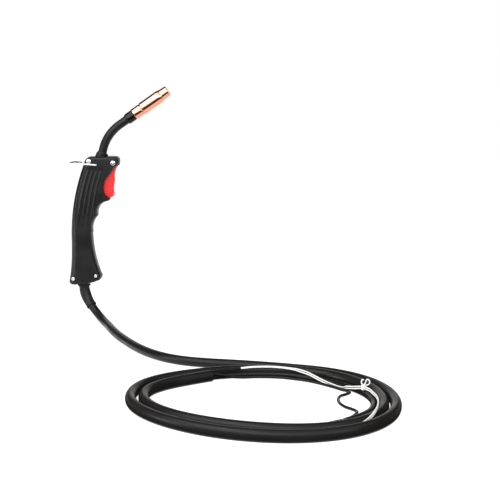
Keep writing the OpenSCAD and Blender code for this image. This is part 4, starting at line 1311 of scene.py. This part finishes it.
terminals = joined("terminals", [crimped(
    "terminal", lead_line[-1], end_way(lead_line), [
        (0, 0, side * 1.2, 1.05, 1.05, 2), (2.5, 0, side * 1.2, 1.05, 1.05, 2),
        (3, 0, side * 1.2, 0.9, 0.95, 2), (4.5, 0, side * 1.2, 0.9, 0.95, 2),
        (5, 0, side * 1.2, 1.05, 1.05, 2), (6, 0, side * 1.4, 0.8, 1.2, 3),
        (7, 0, side * 2.1, 0.4, 2, 8), (14.6, 0, side * 2.1, 0.4, 2, 8),
        (15.6, 0, side * 2.1, 0.35, 1.6, 6), (16, 0, side * 2.1, 0.25, 1.3, 4)],
    (12.5, side * 2.1, 0.8, False), tin_plate) for side in (1, -1)])
stands_for(terminals, "lead_terminals")

# %% [markdown]
# ## The cable inside the handle, and what stays as CAD
#
# The cable inside the grip is soft, so it gets a smooth sweep too. The parts
# that no one sees, such as the microswitch, could be dressed as well, but a CAD
# mesh is enough there: they only get their finishes.

# %% The inner cable and the hidden nodes
union_foot = NECK_FOOT - 62 * foot_way
inner_line = smooth_line([union_foot, union_foot - 6 * foot_way, (4.6, 0, 10), (2, 0, -8),
                          (0, 0, -30), (0, 0, -52), (0, 0, -69.9)], 2)
INNER_R = 5
inner_cable = swept("cable_in_handle", inner_line, INNER_R, INNER_R, cable_rubber)
stands_for(inner_cable, "inner_cable")

for node_name, material in {
        "neck_conductor": turned_copper, "wire_liner": ptfe, "neck_union": brass,
        "trigger_pivot": spring_steel, "switch_body": switch_nylon,
        "switch_plunger": red_abs}.items():
    mesh = frame["nodes"][node_name].data
    mesh.materials.clear()
    mesh.materials.append(material)
    print(node_name, "keeps its CAD mesh, in", material.name)

# %% [markdown]
# ## The studio
#
# The torch lies on a white sweep under large soft lamps. More light on it would
# also whiten the sweep, but it would bleach the copper and the red. So the sweep
# is white to the camera by its own colour, and keeps a little of the object's
# shadow. Mirror-like copper and black plastic show what stands round them, so
# dark cards stand beside the lamps: some behind, above and at the sides, and a
# low one in front. Only reflections see them.

# %% Empty trees, and rays that see a thing directly
def empty_tree(holder):
    """Turns nodes on for a material or a world, and empties its tree."""
    holder.use_nodes = True
    holder.node_tree.nodes.clear()
    return holder.node_tree


def seen_by(tree, *rays):
    """A value of 1 for rays of these kinds and 0 for the rest."""
    light_path = add(tree, "ShaderNodeLightPath")
    value = light_path.outputs[rays[0]]
    for ray in rays[1:]:
        value = add(tree, "ShaderNodeMath", {0: value, 1: light_path.outputs[ray]},
                    operation="MAXIMUM").outputs["Value"]
    return value


# %% Floor
SWEEP_HALF = 4000
white_sweep = bpy.data.materials.new("white_sweep")
tree = empty_tree(white_sweep)
plain = add(tree, "ShaderNodeBsdfDiffuse", {"Color": (0.8, 0.8, 0.8, 1)})
glow = add(tree, "ShaderNodeEmission", {"Color": (1, 1, 1, 1), "Strength": 0.9})
faint = add(tree, "ShaderNodeBsdfDiffuse", {"Color": (0.42, 0.42, 0.42, 1)})
bright = add(tree, "ShaderNodeAddShader", {0: glow.outputs["Emission"], 1: faint.outputs["BSDF"]})
either = add(tree, "ShaderNodeMixShader", {
    0: seen_by(tree, "Is Camera Ray", "Is Glossy Ray"), 1: plain.outputs["BSDF"],
    2: bright.outputs["Shader"]})
add(tree, "ShaderNodeOutputMaterial", {"Surface": either.outputs["Shader"]})
floor = new_piece("floor", [(x * SWEEP_HALF, y * SWEEP_HALF, FLOOR_Z - 0.2)
                            for x, y in ((-1, -1), (1, -1), (1, 1), (-1, 1))],
                  [(0, 1, 2, 3)], white_sweep, smooth=False)
print("the sweep is", 2 * SWEEP_HALF / 1000, "m wide")

# %% Dark cards that only reflections see
black_card = bpy.data.materials.new("black_card")
tree = empty_tree(black_card)
dark = add(tree, "ShaderNodeEmission", {"Color": (0.08, 0.05, 0.035, 1), "Strength": 1})
add(tree, "ShaderNodeOutputMaterial", {"Surface": dark.outputs["Emission"]})


def card(name, *three_corners):
    """A dark card, from three of its corners, that throws no shadow and isn't seen directly."""
    a, b, c = (np.array(corner, float) for corner in three_corners)
    piece = new_piece(name, [a, b, c, a + c - b], [(0, 1, 2, 3)], black_card, smooth=False)
    piece.visible_camera = piece.visible_diffuse = piece.visible_shadow = False
    piece.visible_transmission = False
    print(name, "is", round(np.linalg.norm(b - a)), "by", round(np.linalg.norm(c - b)), "mm")


card("card_behind_left", (-2600, 1500, -120), (-450, 1500, -120), (-450, 900, 2600))
card("card_behind_right", (950, 1500, -120), (2600, 1500, -120), (2600, 900, 2600))
card("card_behind_top", (-450, 1320, 700), (950, 1320, 700), (950, 900, 2600))
card("card_above", (-2600, 900, 2600), (2600, 900, 2600), (2600, 150, 2600))
card("card_left", (-2300, -1300, -120), (-2300, 1500, -120), (-2300, 1500, 1600))
card("card_right", (2700, -1300, -120), (2700, 1500, -120), (2700, 1500, 1600))
card("card_in_front", (-900, -800, -126), (1500, -800, -126), (1500, -800, 30))
card("card_on_floor", (-900, -800, -126), (1500, -800, -126), (1500, -330, -126))

# %% World
WORLD_LIGHT = 0.3
world = bpy.data.worlds.new("white_studio")
bpy.context.scene.world = world
tree = empty_tree(world)
strength = add(tree, "ShaderNodeMapRange", {
    "Value": seen_by(tree, "Is Camera Ray", "Is Glossy Ray", "Is Transmission Ray"),
    "To Min": WORLD_LIGHT, "To Max": 1.0})
sky = add(tree, "ShaderNodeBackground", {"Color": (1, 1, 1, 1),
                                         "Strength": strength.outputs["Result"]})
add(tree, "ShaderNodeOutputWorld", {"Surface": sky.outputs["Background"]})
print("the world lights the torch at", WORLD_LIGHT, "and looks white")

# %% Lamps
TORCH_MIDDLE = (120, -200, 0)


def softbox(name, place, target, size, watts):
    """A rectangular area lamp at place, in millimetres, that faces target."""
    lamp = bpy.data.lights.new(name, "AREA")
    lamp.shape = "RECTANGLE"
    lamp.size, lamp.size_y = size[0] * 0.001, size[1] * 0.001
    lamp.energy = watts
    box = linked(name, lamp)
    box.location = mm(*place)
    box.rotation_euler = (mm(*target) - mm(*place)).to_track_quat("-Z", "Y").to_euler()
    print(name, "lamp:", watts, "W")


softbox("key", (-950, -950, 1300), TORCH_MIDDLE, (1500, 1300), 23)
softbox("front", (0, -1900, 750), TORCH_MIDDLE, (1700, 900), 21)
softbox("low_left", (-1500, -500, 160), (60, -350, -60), (500, 400), 7)
softbox("fill", (1300, -1300, 600), TORCH_MIDDLE, (900, 900), 6)
